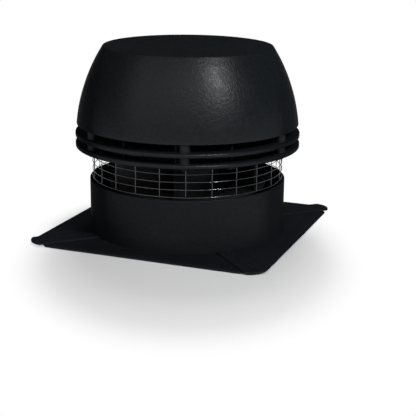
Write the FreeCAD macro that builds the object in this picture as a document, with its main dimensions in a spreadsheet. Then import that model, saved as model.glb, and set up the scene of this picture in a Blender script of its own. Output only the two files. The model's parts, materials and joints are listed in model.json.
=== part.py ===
import FreeCAD, Part
import math
import os
import Sketcher

# Chimney fan: a square flashing base with a cast collar, and above it a hinged
# top with a wire guard, two louvre rings, a cast dome, a motor and an impeller.
# Millimetres. Z is up along the fan's axis, and the origin is the centre of the
# base's underside. X and Y run along the sides of the base.

SIZES = {
    # base of four side plates and four corner straps
    "side_count": 4,
    "flange_side": 406.0,
    "plate_thickness": 3.0,
    "plate_seam_gap": 0.6,
    "plate_seam_offset": 10.0,
    "plate_corner_cut": 25.0,
    "plate_hole_margin": 5.0,
    "strap_width": 40.0,
    "strap_thickness": 2.5,
    "strap_tuck": 23.0,
    "strap_corner_gap": 9.0,
    "strap_tip_radius": 30.0,
    "rivet_radius": 1.6,
    "rivet_head_radius": 2.6,
    "rivet_head_height": 1.0,
    "rivet_collar_gap": 4.5,
    "rivet_pair_pitch": 13.5,
    "fixing_hole_radius": 2.75,
    "fixing_tip_gap": 21.0,
    # cast collar
    "collar_radius": 167.0,
    "collar_wall": 4.0,
    "collar_height": 88.0,
    "foot_height": 6.0,
    "foot_width": 42.0,
    "foot_screw_inset": 10.0,
    "foot_screw_radius": 3.0,
    "foot_screw_count": 8,
    "foot_screw_angle": 22.5,
    "collar_edge_fillet": 1.2,
    "lug_depth": 25.0,
    "lug_width": 30.0,
    "lug_height": 12.0,
    "lug_drop": 10.0,
    "hinge_pad_width": 72.0,
    "hinge_pad_height": 38.0,
    "hinge_pad_depth": 3.5,
    "hinge_pad_drop": 6.0,
    "hinge_pad_root": 5.0,
    "notch_reach": 1.0,
    # inlet cone
    "cone_sheet": 1.5,
    "cone_flange_width": 16.0,
    "cone_narrowing": 37.0,
    "cone_gap": 2.5,
    "cone_lip_height": 10.0,
    "cone_rivet_count": 6,
    "cone_rivet_angle": 30.0,
    # hinge
    "pivot_standoff": 17.0,
    "pivot_rise": 9.0,
    "pin_radius": 4.0,
    "pin_fit": 0.05,
    "knuckle_radius": 8.0,
    "knuckle_width": 28.0,
    "ear_thickness": 5.0,
    "ear_gap": 0.5,
    "hinge_plate": 4.0,
    "bracket_inset": 2.0,
    "pin_head": 3.0,
    "bracket_bolt_radius": 3.0,
    "arm_flange_depth": 21.0,
    "arm_flange_width": 52.0,
    "arm_bolt_setback": 7.0,
    # guard of welded wires
    "guard_inset": 5.0,
    "guard_rise": 4.0,
    "guard_pitch": 12.5,
    "guard_top_gap": 2.5,
    "hoop_count": 5,
    "upright_count": 24,
    "upright_angle": 6.0,
    "wire_size": 1.4,
    "clip_sheet": 1.5,
    "clip_width": 14.0,
    "clip_count": 6,
    "clip_angle": 15.0,
    "clip_screw_offset": 9.0,
    "clip_screw_radius": 2.0,
    # louvre rings and what holds them apart
    "ring_overhang": 23.2,
    "ring_width": 38.2,
    "ring_thickness": 7.0,
    "ring_edge_fillet": 1.2,
    "lower_gap": 10.5,
    "upper_gap": 13.5,
    "pillar_count": 6,
    "pillar_radius": 10.0,
    "pillar_inset": 15.2,
    "pillar_angle": 50.4,
    "rib_count": 12,
    "rib_width": 2.5,
    "rib_length": 7.5,
    "rib_inset": 17.7,
    "rib_angle": 15.8,
    "rib_root": 1.0,
    "stack_bolt_radius": 4.0,
    # cast dome
    "rim_step": 2.2,
    "dome_lean": 45.7,
    "dome_height": 129.5,
    "dome_wall_curve": 294.0,
    "dome_wall": 5.0,
    "lid_edge_fillet": 2.5,
    "rim_flange_width": 24.0,
    "rim_flange_height": 6.0,
    "boss_radius": 8.5,
    "boss_height": 15.0,
    # motor plate, shield and posts
    "motor_plate_lap": 12.0,
    "motor_plate_thickness": 3.0,
    "plate_screw_inset": 5.5,
    "plate_screw_radius": 2.5,
    "plate_screw_count": 6,
    "shaft_hole_radius": 20.0,
    "air_hole_radius": 9.0,
    "air_hole_offset": 36.0,
    "air_hole_count": 8,
    "air_hole_angle": 22.5,
    "shield_lap": 4.0,
    "shield_thickness": 1.2,
    "shield_drop": 11.3,
    "shield_spacer_radius": 5.0,
    "shield_spacer_inset": 26.0,
    "shield_spacer_count": 4,
    "post_count": 3,
    "post_angle": 47.0,
    "post_inset": 16.0,
    "post_sheet": 4.0,
    "post_width": 19.0,
    "post_foot_gap": 2.0,
    "post_flange": 16.0,
    "post_screw_radius": 3.0,
    # motor
    "damper_height": 10.5,
    "damper_radius": 9.0,
    "damper_offset": 20.0,
    "damper_bolt_radius": 3.0,
    "cap_bolt_radius": 2.0,
    "motor_foot_count": 4,
    "motor_foot_height": 6.0,
    "motor_foot_angle": 45.0,
    "motor_radius": 64.0,
    "motor_wall": 6.0,
    "motor_length": 80.0,
    "fin_count": 16,
    "fin_width": 2.0,
    "fin_depth": 8.0,
    "fin_root": 1.0,
    "end_cap_height": 14.0,
    "cap_flange_width": 10.0,
    "cap_slope": 5.0,
    "bearing_radius": 20.0,
    "bearing_height": 9.0,
    "bearing_recess": 1.0,
    "coil_height": 8.0,
    "coil_inset": 3.0,
    "stator_length": 55.0,
    "air_gap": 0.5,
    "stator_width": 20.5,
    "box_width": 50.0,
    "box_height": 40.0,
    "box_depth": 24.0,
    "box_standoff": 3.0,
    "box_lid_thickness": 3.0,
    "box_lid_lap": 1.0,
    "gland_radius": 8.0,
    "capacitor_inset": 34.0,
    "capacitor_radius": 17.0,
    "capacitor_height": 60.0,
    "clip_band": 2.0,
    "clip_band_height": 12.0,
    # running gear
    "shaft_radius": 8.0,
    "shaft_fit": 0.04,
    "shaft_end": 3.0,
    "hub_radius": 22.0,
    "hub_flange_radius": 36.0,
    "hub_height": 28.5,
    "hub_rise": 2.0,
    "hub_chamfer": 2.0,
    "hub_flange_thickness": 4.0,
    "nut_height": 10.0,
    "backplate_clearance": 3.5,
    "impeller_gap": 9.0,
    "eye_gap": 2.0,
    "blade_count": 6,
    "blade_lap": 14.0,
    "blade_sweep": 44.0,
    "blade_curve": 100.0,
    "blade_margin": 3.0,
    "blade_height": 54.0,
    "blade_thickness": 2.5,
    "blade_angle": -87.0,
    "impeller_sheet": 2.5,
    "cooling_disc_radius": 70.0,
    "cooling_disc_gap": 2.0,
    "vane_inset": 1.0,
    "vane_count": 8,
    "hub_rivet_count": 6,
    # seats, running gaps and screw ends
    "seat_gap": 0.3,
    "bolt_play": 0.1,
    "screw_tip": 2.0,
    "screw_end_gap": 0.5,
}

doc = FreeCAD.newDocument("ChimneyFan")
sheet = doc.addObject("Spreadsheet::Sheet", "Sizes")
for row, (alias, number) in enumerate(SIZES.items(), start=1):
    sheet.set(f"A{row}", alias)
    sheet.set(f"B{row}", str(number))
    sheet.setAlias(f"B{row}", alias)
doc.recompute()


class Size:
    """A length or angle that carries its number and the formula that gives it."""

    def __init__(self, number, formula):
        self.number = float(number)
        self.formula = formula

    def __add__(self, other):
        other = size(other)
        return Size(self.number + other.number, f"({self.formula} + {other.formula})")

    def __radd__(self, other):
        return size(other) + self

    def __sub__(self, other):
        other = size(other)
        return Size(self.number - other.number, f"({self.formula} - {other.formula})")

    def __rsub__(self, other):
        return size(other) - self

    def __mul__(self, other):
        other = size(other)
        return Size(self.number * other.number, f"({self.formula} * {other.formula})")

    def __rmul__(self, other):
        return size(other) * self

    def __truediv__(self, other):
        other = size(other)
        return Size(self.number / other.number, f"({self.formula} / {other.formula})")

    def __neg__(self):
        return size(0) - self


def size(value):
    """Return the value as a Size; a plain number becomes its own formula."""
    if isinstance(value, Size):
        return value
    return Size(value, repr(float(value)))


def cosine(angle):
    angle = size(angle)
    return Size(math.cos(math.radians(angle.number)), f"cos({angle.formula})")


def sine(angle):
    angle = size(angle)
    return Size(math.sin(math.radians(angle.number)), f"sin({angle.formula})")


def root(value):
    value = size(value)
    return Size(math.sqrt(value.number), f"sqrt({value.formula})")


def polar(radius, angle):
    """Return the point at a radius and an angle in degrees."""
    return (radius * cosine(angle), radius * sine(angle))


S = {alias: Size(number, f"Sizes.{alias}") for alias, number in SIZES.items()}
parts = []


def new_body(label, turn=0.0):
    """Start a sub-part as a body, turned about the fan's axis."""
    body = doc.addObject("PartDesign::Body", label)
    body.Label = label
    body.AllowCompound = True
    body.Placement = FreeCAD.Placement(
        FreeCAD.Vector(0, 0, 0), FreeCAD.Rotation(FreeCAD.Vector(0, 0, 1), turn))
    parts.append(body)
    return body


def origin_feature(body, role):
    for feature in body.Origin.OriginFeatures:
        if feature.Role == role:
            return feature
    raise ValueError(role)


def bind(target, name, value):
    """Set a property from a size and keep it bound to the size's formula."""
    value = size(value)
    target.setExpression(name, value.formula)


def new_sketch(body, name, role, offset=0.0):
    """Start a sketch on one of the body's planes, lifted by an offset."""
    sketch = body.newObject("Sketcher::SketchObject", name)
    sketch.AttachmentSupport = [(origin_feature(body, role), "")]
    sketch.MapMode = "FlatFace"
    offset = size(offset)
    sketch.AttachmentOffset = FreeCAD.Placement(
        FreeCAD.Vector(0, 0, offset.number), FreeCAD.Rotation())
    bind(sketch, "AttachmentOffset.Base.z", offset)
    return sketch


def pin_point(sketch, geometry, position, point):
    """Fix a point of a sketch at two sizes from the sketch's origin."""
    for kind, axis, value in (("DistanceX", -2, point[0]), ("DistanceY", -1, point[1])):
        value = size(value)
        if abs(value.number) < 1e-9:
            sketch.addConstraint(Sketcher.Constraint("PointOnObject", geometry, position, axis))
            continue
        index = sketch.addConstraint(
            Sketcher.Constraint(kind, -1, 1, geometry, position, value.number))
        sketch.setExpression(f"Constraints[{index}]", value.formula)


def vector(point):
    return FreeCAD.Vector(size(point[0]).number, size(point[1]).number, 0)


def arc_between(start, end, radius, left):
    """Return the arc of a radius that turns left, or right, from start to end."""
    first, last = vector(start), vector(end)
    middle = (first + last) / 2
    chord = last - first
    side = FreeCAD.Vector(-chord.y, chord.x, 0).normalize()
    rise = math.sqrt(max(radius.number ** 2 - (chord.Length / 2) ** 2, 0.0))
    centre = middle + side * rise if left else middle - side * rise
    angles = [math.atan2(p.y - centre.y, p.x - centre.x) for p in (first, last)]
    if not left:
        angles.reverse()
    circle = Part.Circle(centre, FreeCAD.Vector(0, 0, 1), radius.number)
    return Part.ArcOfCircle(circle, angles[0], angles[1])


def add_outline(sketch, points, arcs=None):
    """Draw a closed outline; arcs maps a point's index to (radius, turns left)."""
    arcs = arcs or {}
    count = len(points)
    first = sketch.GeometryCount
    ends = []
    for index, start in enumerate(points):
        end = points[(index + 1) % count]
        if index in arcs:
            radius, left = size(arcs[index][0]), arcs[index][1]
            geometry = sketch.addGeometry(arc_between(start, end, radius, left), False)
            number = sketch.addConstraint(Sketcher.Constraint("Radius", geometry, radius.number))
            sketch.setExpression(f"Constraints[{number}]", radius.formula)
            ends.append((1, 2) if left else (2, 1))
        else:
            geometry = sketch.addGeometry(Part.LineSegment(vector(start), vector(end)), False)
            ends.append((1, 2))
    for index, point in enumerate(points):
        here = first + index
        before = first + (index - 1) % count
        sketch.addConstraint(Sketcher.Constraint(
            "Coincident", before, ends[(index - 1) % count][1], here, ends[index][0]))
        pin_point(sketch, here, ends[index][0], point)


def add_circle(sketch, centre, radius):
    radius = size(radius)
    geometry = sketch.addGeometry(
        Part.Circle(vector(centre), FreeCAD.Vector(0, 0, 1), radius.number), False)
    number = sketch.addConstraint(Sketcher.Constraint("Radius", geometry, radius.number))
    sketch.setExpression(f"Constraints[{number}]", radius.formula)
    pin_point(sketch, geometry, 3, centre)


def add_hexagon(sketch, centre, radius, turn=0.0):
    corners = []
    for index in range(6):
        step = polar(size(radius), size(turn) + 60.0 * index)
        corners.append((centre[0] + step[0], centre[1] + step[1]))
    add_outline(sketch, corners)


def pad(body, sketch, length, name, reverse=False):
    feature = body.newObject("PartDesign::Pad", name)
    feature.Profile = sketch
    feature.Length = size(length).number
    bind(feature, "Length", length)
    feature.Reversed = reverse
    sketch.Visibility = False
    body.Tip = feature
    return feature


def pocket(body, sketch, length, name, reverse=False):
    """Cut a sketch out of the body; the cut runs against the sketch's normal."""
    doc.recompute()
    before = body.Shape.Volume
    feature = body.newObject("PartDesign::Pocket", name)
    feature.Profile = sketch
    feature.Length = size(length).number
    bind(feature, "Length", length)
    feature.Reversed = reverse
    body.Tip = feature
    doc.recompute()
    if body.Shape.Volume > before - 1e-3:
        raise ValueError(f"{name} cuts nothing from {body.Label}")
    return feature


def revolve(body, sketch, name):
    feature = body.newObject("PartDesign::Revolution", name)
    feature.Profile = sketch
    feature.ReferenceAxis = (sketch, ["V_Axis"])
    feature.Angle = 360.0
    body.Tip = feature
    return feature


def around(body, features, count, name):
    """Repeat features about the fan's axis."""
    doc.recompute()
    feature = body.newObject("PartDesign::PolarPattern", name)
    feature.Originals = features
    feature.Axis = (origin_feature(body, "Z_Axis"), [""])
    feature.Angle = 360.0
    count = size(count)
    feature.Occurrences = int(count.number)
    bind(feature, "Occurrences", count)
    body.Tip = feature
    return feature


def turned(label, points, arcs=None, turn=0.0):
    """Make a sub-part by turning an outline of (radius, height) about the axis."""
    body = new_body(label, turn)
    sketch = new_sketch(body, f"{label}_outline", "XZ_Plane")
    add_outline(sketch, points, arcs)
    revolve(body, sketch, f"{label}_turned")
    return body


def tube(label, inner, outer, low, high):
    """Make a ring of rectangular section about the fan's axis."""
    return turned(label, [(inner, low), (outer, low), (outer, high), (inner, high)])


def drill(body, name, centre, radius, top, depth):
    """Drill a round hole downwards from a height."""
    sketch = new_sketch(body, f"{name}_sketch", "XY_Plane", top)
    add_circle(sketch, centre, radius)
    return pocket(body, sketch, depth, name)


def round_pieces(label, centre, radius, low, height, count, bore=None):
    """Make equal upright cylinders, or tubes, spaced about the fan's axis."""
    body = new_body(label)
    sketch = new_sketch(body, f"{label}_section", "XY_Plane", low)
    add_circle(sketch, centre, radius)
    if bore is not None:
        add_circle(sketch, centre, bore)
    piece = pad(body, sketch, height, f"{label}_piece")
    around(body, [piece], count, f"{label}_all")
    return body


def bolt_features(body, name, centre, radius, seat, length, up):
    """Add one bolt: a hexagon head on its seat, and a shank on the other side.

    With up true the head lies above the seat, and otherwise below it.
    """
    head_sketch = new_sketch(body, f"{name}_head_sketch", "XY_Plane", seat)
    add_hexagon(head_sketch, centre, radius * HEAD_ACROSS)
    head = pad(body, head_sketch, radius * HEAD_HEIGHT, f"{name}_head", reverse=not up)
    shank_sketch = new_sketch(body, f"{name}_shank_sketch", "XY_Plane", seat)
    add_circle(shank_sketch, centre, radius)
    shank = pad(body, shank_sketch, length, f"{name}_shank", reverse=up)
    return [head, shank]


def bolts(label, centre, radius, seat, length, count, up=True):
    """Make equal bolts spaced about the fan's axis as one group of solids."""
    body = new_body(label)
    features = bolt_features(body, label, centre, radius, seat, length, up)
    around(body, features, count, f"{label}_all")
    return body


def rivets(label, centres, seat, length, count, turn=0.0):
    """Make equal rivets as one group: round heads on a seat, and shanks below it."""
    body = new_body(label, turn)
    heads = new_sketch(body, f"{label}_head_sketch", "XY_Plane", seat)
    shanks = new_sketch(body, f"{label}_shank_sketch", "XY_Plane", seat)
    for centre in centres:
        add_circle(heads, centre, S["rivet_head_radius"])
        add_circle(shanks, centre, S["rivet_radius"])
    head = pad(body, heads, S["rivet_head_height"], f"{label}_head")
    shank = pad(body, shanks, length, f"{label}_shank", reverse=True)
    around(body, [head, shank], count, f"{label}_all")
    return body


# shares of a screw's radius, and of the piece it ends in, that all the screws keep
HEAD_ACROSS = 1.8
HEAD_HEIGHT = 1.2
SCREW_DEPTH = 0.8
HOLE_DEPTH = 0.85

# radii and reaches that follow the collar's radius and the base's side
half_side = S["flange_side"] / 2
wall_inside = S["collar_radius"] - S["collar_wall"]
inlet_radius = S["collar_radius"] - S["foot_width"]
plate_hole_radius = inlet_radius + S["plate_hole_margin"]
plate_corner_reach = half_side * math.sqrt(2) - S["plate_corner_cut"]
strap_start = S["collar_radius"] - S["strap_tuck"]
strap_reach = half_side * math.sqrt(2) - S["strap_corner_gap"]
fixing_reach = strap_reach - S["fixing_tip_gap"]
rivet_inner_reach = S["collar_radius"] + S["rivet_collar_gap"]
rivet_reaches = [
    rivet_inner_reach,
    rivet_inner_reach + S["rivet_pair_pitch"],
    fixing_reach - S["rivet_pair_pitch"],
]
foot_screw_circle = wall_inside - S["foot_screw_inset"]
cone_flange_radius = inlet_radius + S["cone_flange_width"]
cone_lip_radius = inlet_radius - S["cone_narrowing"]
guard_radius = S["collar_radius"] - S["guard_inset"]
half_wire = S["wire_size"] / 2
clip_screw_circle = guard_radius + S["clip_screw_offset"]
ring_radius = S["collar_radius"] + S["ring_overhang"]
ring_inner_radius = ring_radius - S["ring_width"]
pillar_circle = ring_radius - S["pillar_inset"]
rib_end = ring_radius - S["rib_inset"]
rib_start = rib_end - S["rib_length"]
dome_radius = ring_radius - S["rim_step"]
lid_radius = dome_radius - S["dome_lean"]
rim_flange_radius = dome_radius - S["rim_flange_width"]
motor_plate_radius = ring_inner_radius + S["motor_plate_lap"]
plate_screw_circle = motor_plate_radius - S["plate_screw_inset"]
post_circle = wall_inside - S["post_inset"]
post_inside = post_circle - S["post_sheet"]
post_screw_circle = post_inside - S["post_flange"] / 2
post_step = 360.0 / SIZES["post_count"]
side_turn = 360.0 / SIZES["side_count"]
corner_turn = side_turn / 2
impeller_radius = post_inside - S["impeller_gap"]
impeller_eye_radius = cone_lip_radius + S["eye_gap"]
blade_inner_radius = impeller_eye_radius - S["blade_lap"]
shield_radius = impeller_radius + S["shield_lap"]
shield_spacer_circle = shield_radius - S["shield_spacer_inset"]
air_hole_circle = S["motor_radius"] + S["air_hole_offset"]
damper_circle = S["motor_radius"] + S["damper_offset"]
capacitor_place = ring_inner_radius - S["capacitor_inset"]
stator_outer = S["motor_radius"] - S["motor_wall"]
stator_inner = stator_outer - S["stator_width"]
rotor_radius = stator_inner - S["air_gap"]
box_near = S["motor_radius"] + S["fin_depth"] + S["box_standoff"]
box_far = box_near + S["box_depth"]
shaft_bore = S["shaft_radius"] + S["shaft_fit"] / 2
pivot_back = S["collar_radius"] + S["pivot_standoff"]
pad_face = S["collar_radius"] + S["hinge_pad_depth"]
bracket_face = pad_face + S["hinge_plate"]
arm_flange_back = ring_radius - S["ring_edge_fillet"]
arm_flange_front = arm_flange_back - S["arm_flange_depth"]

# heights that the sub-parts share
plate_top = S["plate_thickness"]
strap_top = plate_top + S["strap_thickness"]
collar_top = plate_top + S["collar_height"]
foot_top = plate_top + S["foot_height"]
ledge = collar_top - S["lug_drop"]
first_hoop = collar_top + S["guard_rise"]
top_hoop = first_hoop + S["guard_pitch"] * (SIZES["hoop_count"] - 1)
lower_ring_low = top_hoop + S["guard_top_gap"]
lower_ring_top = lower_ring_low + S["ring_thickness"]
upper_ring_low = lower_ring_top + S["lower_gap"]
upper_ring_top = upper_ring_low + S["ring_thickness"]
rim = upper_ring_top + S["upper_gap"]
dome_top = rim + S["dome_height"]
motor_plate_top = lower_ring_top + S["motor_plate_thickness"]
shield_top = lower_ring_top - S["shield_drop"]
shield_low = shield_top - S["shield_thickness"]
backplate_top = shield_low - S["backplate_clearance"]
backplate_low = backplate_top - S["impeller_sheet"]
blade_low = backplate_low - S["blade_height"]
front_ring_low = blade_low - S["impeller_sheet"]
cone_top = front_ring_low - S["cone_gap"]
hub_top = backplate_top + S["hub_rise"]
hub_low = hub_top - S["hub_height"]
cap_low = motor_plate_top + S["damper_height"]
housing_low = cap_low + S["end_cap_height"]
housing_top = housing_low + S["motor_length"]
end_cap_flange = housing_top + S["end_cap_height"] * 0.6
stator_low = housing_low + (S["motor_length"] - S["stator_length"]) / 2
stator_top = stator_low + S["stator_length"]
box_low = housing_low + (S["motor_length"] - S["box_height"]) / 2
pivot_height = collar_top + S["pivot_rise"]
hinge_pad_top = pivot_height - S["knuckle_radius"] - S["hinge_pad_drop"]
arm_flange_low = lower_ring_low - S["hinge_plate"]
hoop_low = top_hoop - half_wire

# places of the first of each set of round things
pillar_centre = polar(pillar_circle, S["pillar_angle"])
foot_screw_centre = polar(foot_screw_circle, S["foot_screw_angle"])
plate_screw_centre = polar(plate_screw_circle, S["pillar_angle"] - 180.0 / SIZES["pillar_count"])
clip_screw_centre = polar(clip_screw_circle, S["clip_angle"])
post_screw_centre = polar(post_screw_circle, S["post_angle"])
damper_centre = polar(damper_circle, S["motor_foot_angle"])
cap_bolt_centre = polar(S["motor_radius"] - S["motor_wall"] / 2, S["motor_foot_angle"])
cone_rivet_centre = polar((inlet_radius + cone_flange_radius) / 2, S["cone_rivet_angle"])
hub_rivet_centre = polar((S["hub_radius"] + S["hub_flange_radius"]) / 2, 0.0)


# base


def side_plate(label, turn):
    """A quarter of the flashing base. Its right end carries a strap's rivets."""
    body = new_body(label, turn)
    right = S["plate_seam_offset"] * math.sqrt(2)
    left = right + S["plate_seam_gap"] * math.sqrt(2)
    cut = plate_corner_reach * math.sqrt(2)
    inner = plate_hole_radius
    right_x = (right + root(2 * inner * inner - right * right)) / 2
    left_x = (left - root(2 * inner * inner - left * left)) / 2
    sketch = new_sketch(body, f"{label}_outline", "XY_Plane")
    add_outline(sketch, [
        (left_x, left_x - left),
        ((left - cut) / 2, -(left + cut) / 2),
        (half_side - cut, -half_side),
        (cut - half_side, -half_side),
        ((cut + right) / 2, (right - cut) / 2),
        (right_x, right - right_x),
    ], {5: (inner, False)})
    pad(body, sketch, S["plate_thickness"], f"{label}_sheet")
    holes = new_sketch(body, f"{label}_holes", "XY_Plane", plate_top)
    for way in (-1.0, 1.0):
        add_circle(holes, polar(foot_screw_circle, S["foot_screw_angle"] * way - side_turn),
                   S["foot_screw_radius"] + S["bolt_play"])
    for reach in rivet_reaches:
        add_circle(holes, polar(reach, -corner_turn), S["rivet_radius"] + S["bolt_play"])
    add_circle(holes, polar(fixing_reach, -corner_turn), S["fixing_hole_radius"])
    pocket(body, holes, S["plate_thickness"], f"{label}_drilling")
    return body


def corner_strap(label, turn):
    """A strip over the seam of two side plates, with a rounded tip."""
    body = new_body(label, turn)
    half = S["strap_width"] / 2
    tip = S["strap_tip_radius"]
    shoulder = strap_reach - (tip - root(tip * tip - half * half))
    sketch = new_sketch(body, f"{label}_outline", "XY_Plane", plate_top)
    add_outline(sketch, [
        (strap_start, -half),
        (shoulder, -half),
        (shoulder, half),
        (strap_start, half),
    ], {1: (tip, True)})
    for reach in rivet_reaches:
        add_circle(sketch, (reach, 0), S["rivet_radius"] + S["bolt_play"])
    add_circle(sketch, (fixing_reach, 0), S["fixing_hole_radius"])
    pad(body, sketch, S["strap_thickness"], f"{label}_sheet")
    return body


def strip(start, end, half, angle):
    """Return the corners of a radial strip between two radii at an angle."""
    along = (cosine(angle), sine(angle))
    corners = []
    for reach, side in ((start, -1.0), (end, -1.0), (end, 1.0), (start, 1.0)):
        corners.append((reach * along[0] - side * half * along[1],
                        reach * along[1] + side * half * along[0]))
    return corners


def collar():
    """The cast ring that carries the top, open above and below."""
    body = turned("collar", [
        (inlet_radius, plate_top),
        (S["collar_radius"], plate_top),
        (S["collar_radius"], collar_top - S["collar_edge_fillet"]),
        (S["collar_radius"] - S["collar_edge_fillet"], collar_top),
        (wall_inside, collar_top),
        (wall_inside, foot_top),
        (inlet_radius, foot_top),
    ], {2: (S["collar_edge_fillet"], True)})
    lug = new_sketch(body, "lug_sketch", "XY_Plane", ledge)
    add_outline(lug, strip(wall_inside - S["lug_depth"], wall_inside + S["collar_wall"] / 2,
                           S["lug_width"] / 2, S["post_angle"]))
    lug_pad = pad(body, lug, S["lug_height"], "lug", reverse=True)
    around(body, [lug_pad], S["post_count"], "lugs")
    seat = new_sketch(body, "hinge_pad_sketch", "XZ_Plane", -pad_face)
    half = S["hinge_pad_width"] / 2
    pad_low = hinge_pad_top - S["hinge_pad_height"]
    add_outline(seat, [(-half, pad_low), (half, pad_low), (half, hinge_pad_top), (-half, hinge_pad_top)])
    pad(body, seat, S["hinge_pad_depth"] + S["hinge_pad_root"], "hinge_pad")
    notch = new_sketch(body, "strap_notch_sketch", "XY_Plane", plate_top)
    add_outline(notch, strip(strap_start - S["seat_gap"], S["collar_radius"] + S["notch_reach"],
                             S["strap_width"] / 2 + S["seat_gap"], corner_turn))
    cut = pocket(body, notch, S["strap_thickness"], "strap_notch", reverse=True)
    around(body, [cut], S["side_count"], "strap_notches")
    screws = drill(body, "foot_screw_hole", foot_screw_centre,
                   S["foot_screw_radius"] + S["bolt_play"], foot_top, S["foot_height"])
    around(body, [screws], S["foot_screw_count"], "foot_screw_holes")
    rivets = drill(body, "cone_rivet_hole", cone_rivet_centre,
                   S["rivet_radius"] + S["bolt_play"], foot_top, S["foot_height"])
    around(body, [rivets], S["cone_rivet_count"], "cone_rivet_holes")
    drill_backwards(body, "bracket_bolt_hole", S["bracket_bolt_radius"] + S["bolt_play"],
                    pad_face, S["hinge_pad_depth"] + S["hinge_pad_root"] + S["notch_reach"])
    return body


def bracket_bolt_centres():
    """Return the four bolt places of the hinge bracket as (across, height)."""
    centres = []
    for across in (-1.0, 1.0):
        for share in (0.25, 0.75):
            height = hinge_pad_top - S["hinge_pad_height"] * share
            centres.append((S["hinge_pad_width"] * 0.37 * across, height))
    return centres


def drill_backwards(body, name, radius, face, depth):
    """Drill the bracket's bolt holes towards the axis from a face at the back."""
    sketch = new_sketch(body, f"{name}_sketch", "XZ_Plane", -face)
    for centre in bracket_bolt_centres():
        add_circle(sketch, centre, radius)
    return pocket(body, sketch, depth, name, reverse=True)


def inlet_cone():
    """The spun sheet that leads the flue gas into the impeller's eye."""
    sheet_thickness = S["cone_sheet"]
    lip_low = cone_top - S["cone_lip_height"]
    lip_outside = cone_lip_radius + sheet_thickness
    throat = inlet_radius + sheet_thickness
    flange_top = foot_top + sheet_thickness

    def bell_radius(across, rise):
        return (across * across + rise * rise) / (2 * across)

    body = turned("inlet_cone", [
        (inlet_radius, foot_top),
        (cone_flange_radius, foot_top),
        (cone_flange_radius, flange_top),
        (throat, flange_top),
        (lip_outside, lip_low),
        (lip_outside, cone_top),
        (cone_lip_radius, cone_top),
        (cone_lip_radius, lip_low),
    ], {
        3: (bell_radius(throat - lip_outside, lip_low - flange_top), False),
        7: (bell_radius(inlet_radius - cone_lip_radius, lip_low - foot_top), True),
    })
    hole = drill(body, "cone_flange_hole", cone_rivet_centre,
                 S["rivet_radius"] + S["bolt_play"], flange_top, sheet_thickness)
    around(body, [hole], S["cone_rivet_count"], "cone_flange_holes")
    return body


# hinge


def side_pad(body, name, points, start, width):
    """Pad an outline of (back, height) sideways from one place across."""
    sketch = new_sketch(body, f"{name}_sketch", "YZ_Plane", start)
    add_outline(sketch, points)
    return pad(body, sketch, width, name)


def side_disc(body, name, radius, start, width):
    """Pad a disc round the hinge's pivot sideways from one place across."""
    sketch = new_sketch(body, f"{name}_sketch", "YZ_Plane", start)
    add_circle(sketch, (pivot_back, pivot_height), radius)
    return pad(body, sketch, width, name)


def pin_hole(body, name):
    sketch = new_sketch(body, f"{name}_sketch", "YZ_Plane", S["hinge_pad_width"])
    add_circle(sketch, (pivot_back, pivot_height), S["pin_radius"] + S["pin_fit"])
    return pocket(body, sketch, S["hinge_pad_width"] * 2, name)


def hinge_bracket():
    """The fixed half of the hinge: a plate on the collar with two ears."""
    body = new_body("hinge_bracket")
    half = S["hinge_pad_width"] / 2 - S["bracket_inset"]
    top, low = hinge_pad_top, hinge_pad_top - S["hinge_pad_height"]
    plate = new_sketch(body, "bracket_plate_sketch", "XZ_Plane", -bracket_face)
    add_outline(plate, [(-half, low), (half, low), (half, top), (-half, top)])
    pad(body, plate, S["hinge_plate"], "bracket_plate")
    knuckle = S["knuckle_radius"]
    outline = [
        (pad_face, low + S["hinge_plate"]),
        (pivot_back + knuckle, pivot_height),
        (pivot_back - knuckle, pivot_height),
        (pad_face, top),
    ]
    inner = S["knuckle_width"] / 2 + S["ear_gap"]
    for name, start in (("right_ear", inner), ("left_ear", -inner - S["ear_thickness"])):
        side_pad(body, name, outline, start, S["ear_thickness"])
        side_disc(body, f"{name}_end", knuckle, start, S["ear_thickness"])
    pin_hole(body, "bracket_pin_hole")
    drill_backwards(body, "bracket_hole", S["bracket_bolt_radius"] + S["bolt_play"],
                    bracket_face, S["hinge_plate"])
    return body


def hinge_bracket_bolts():
    body = new_body("hinge_bracket_bolts")
    radius = S["bracket_bolt_radius"]
    heads = new_sketch(body, "bracket_bolt_heads_sketch", "XZ_Plane", -bracket_face)
    shanks = new_sketch(body, "bracket_bolt_shanks_sketch", "XZ_Plane", -bracket_face)
    for centre in bracket_bolt_centres():
        add_hexagon(heads, centre, radius * HEAD_ACROSS)
        add_circle(shanks, centre, radius)
    pad(body, heads, radius * HEAD_HEIGHT, "bracket_bolt_heads", reverse=True)
    length = S["hinge_plate"] + S["hinge_pad_depth"] + S["collar_wall"] * SCREW_DEPTH
    pad(body, shanks, length, "bracket_bolt_shanks")
    return body


def hinge_pin():
    """The pin lies across the back, and a head at each end keeps it in."""
    body = new_body("hinge_pin")
    reach = S["knuckle_width"] / 2 + S["ear_gap"] + S["ear_thickness"]
    side_disc(body, "pin_rod", S["pin_radius"], -reach, reach * 2)
    for name, start in (("right_pin_head", reach), ("left_pin_head", -reach - S["pin_head"])):
        side_disc(body, name, S["pin_radius"] * 1.5, start, S["pin_head"])
    return body


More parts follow.
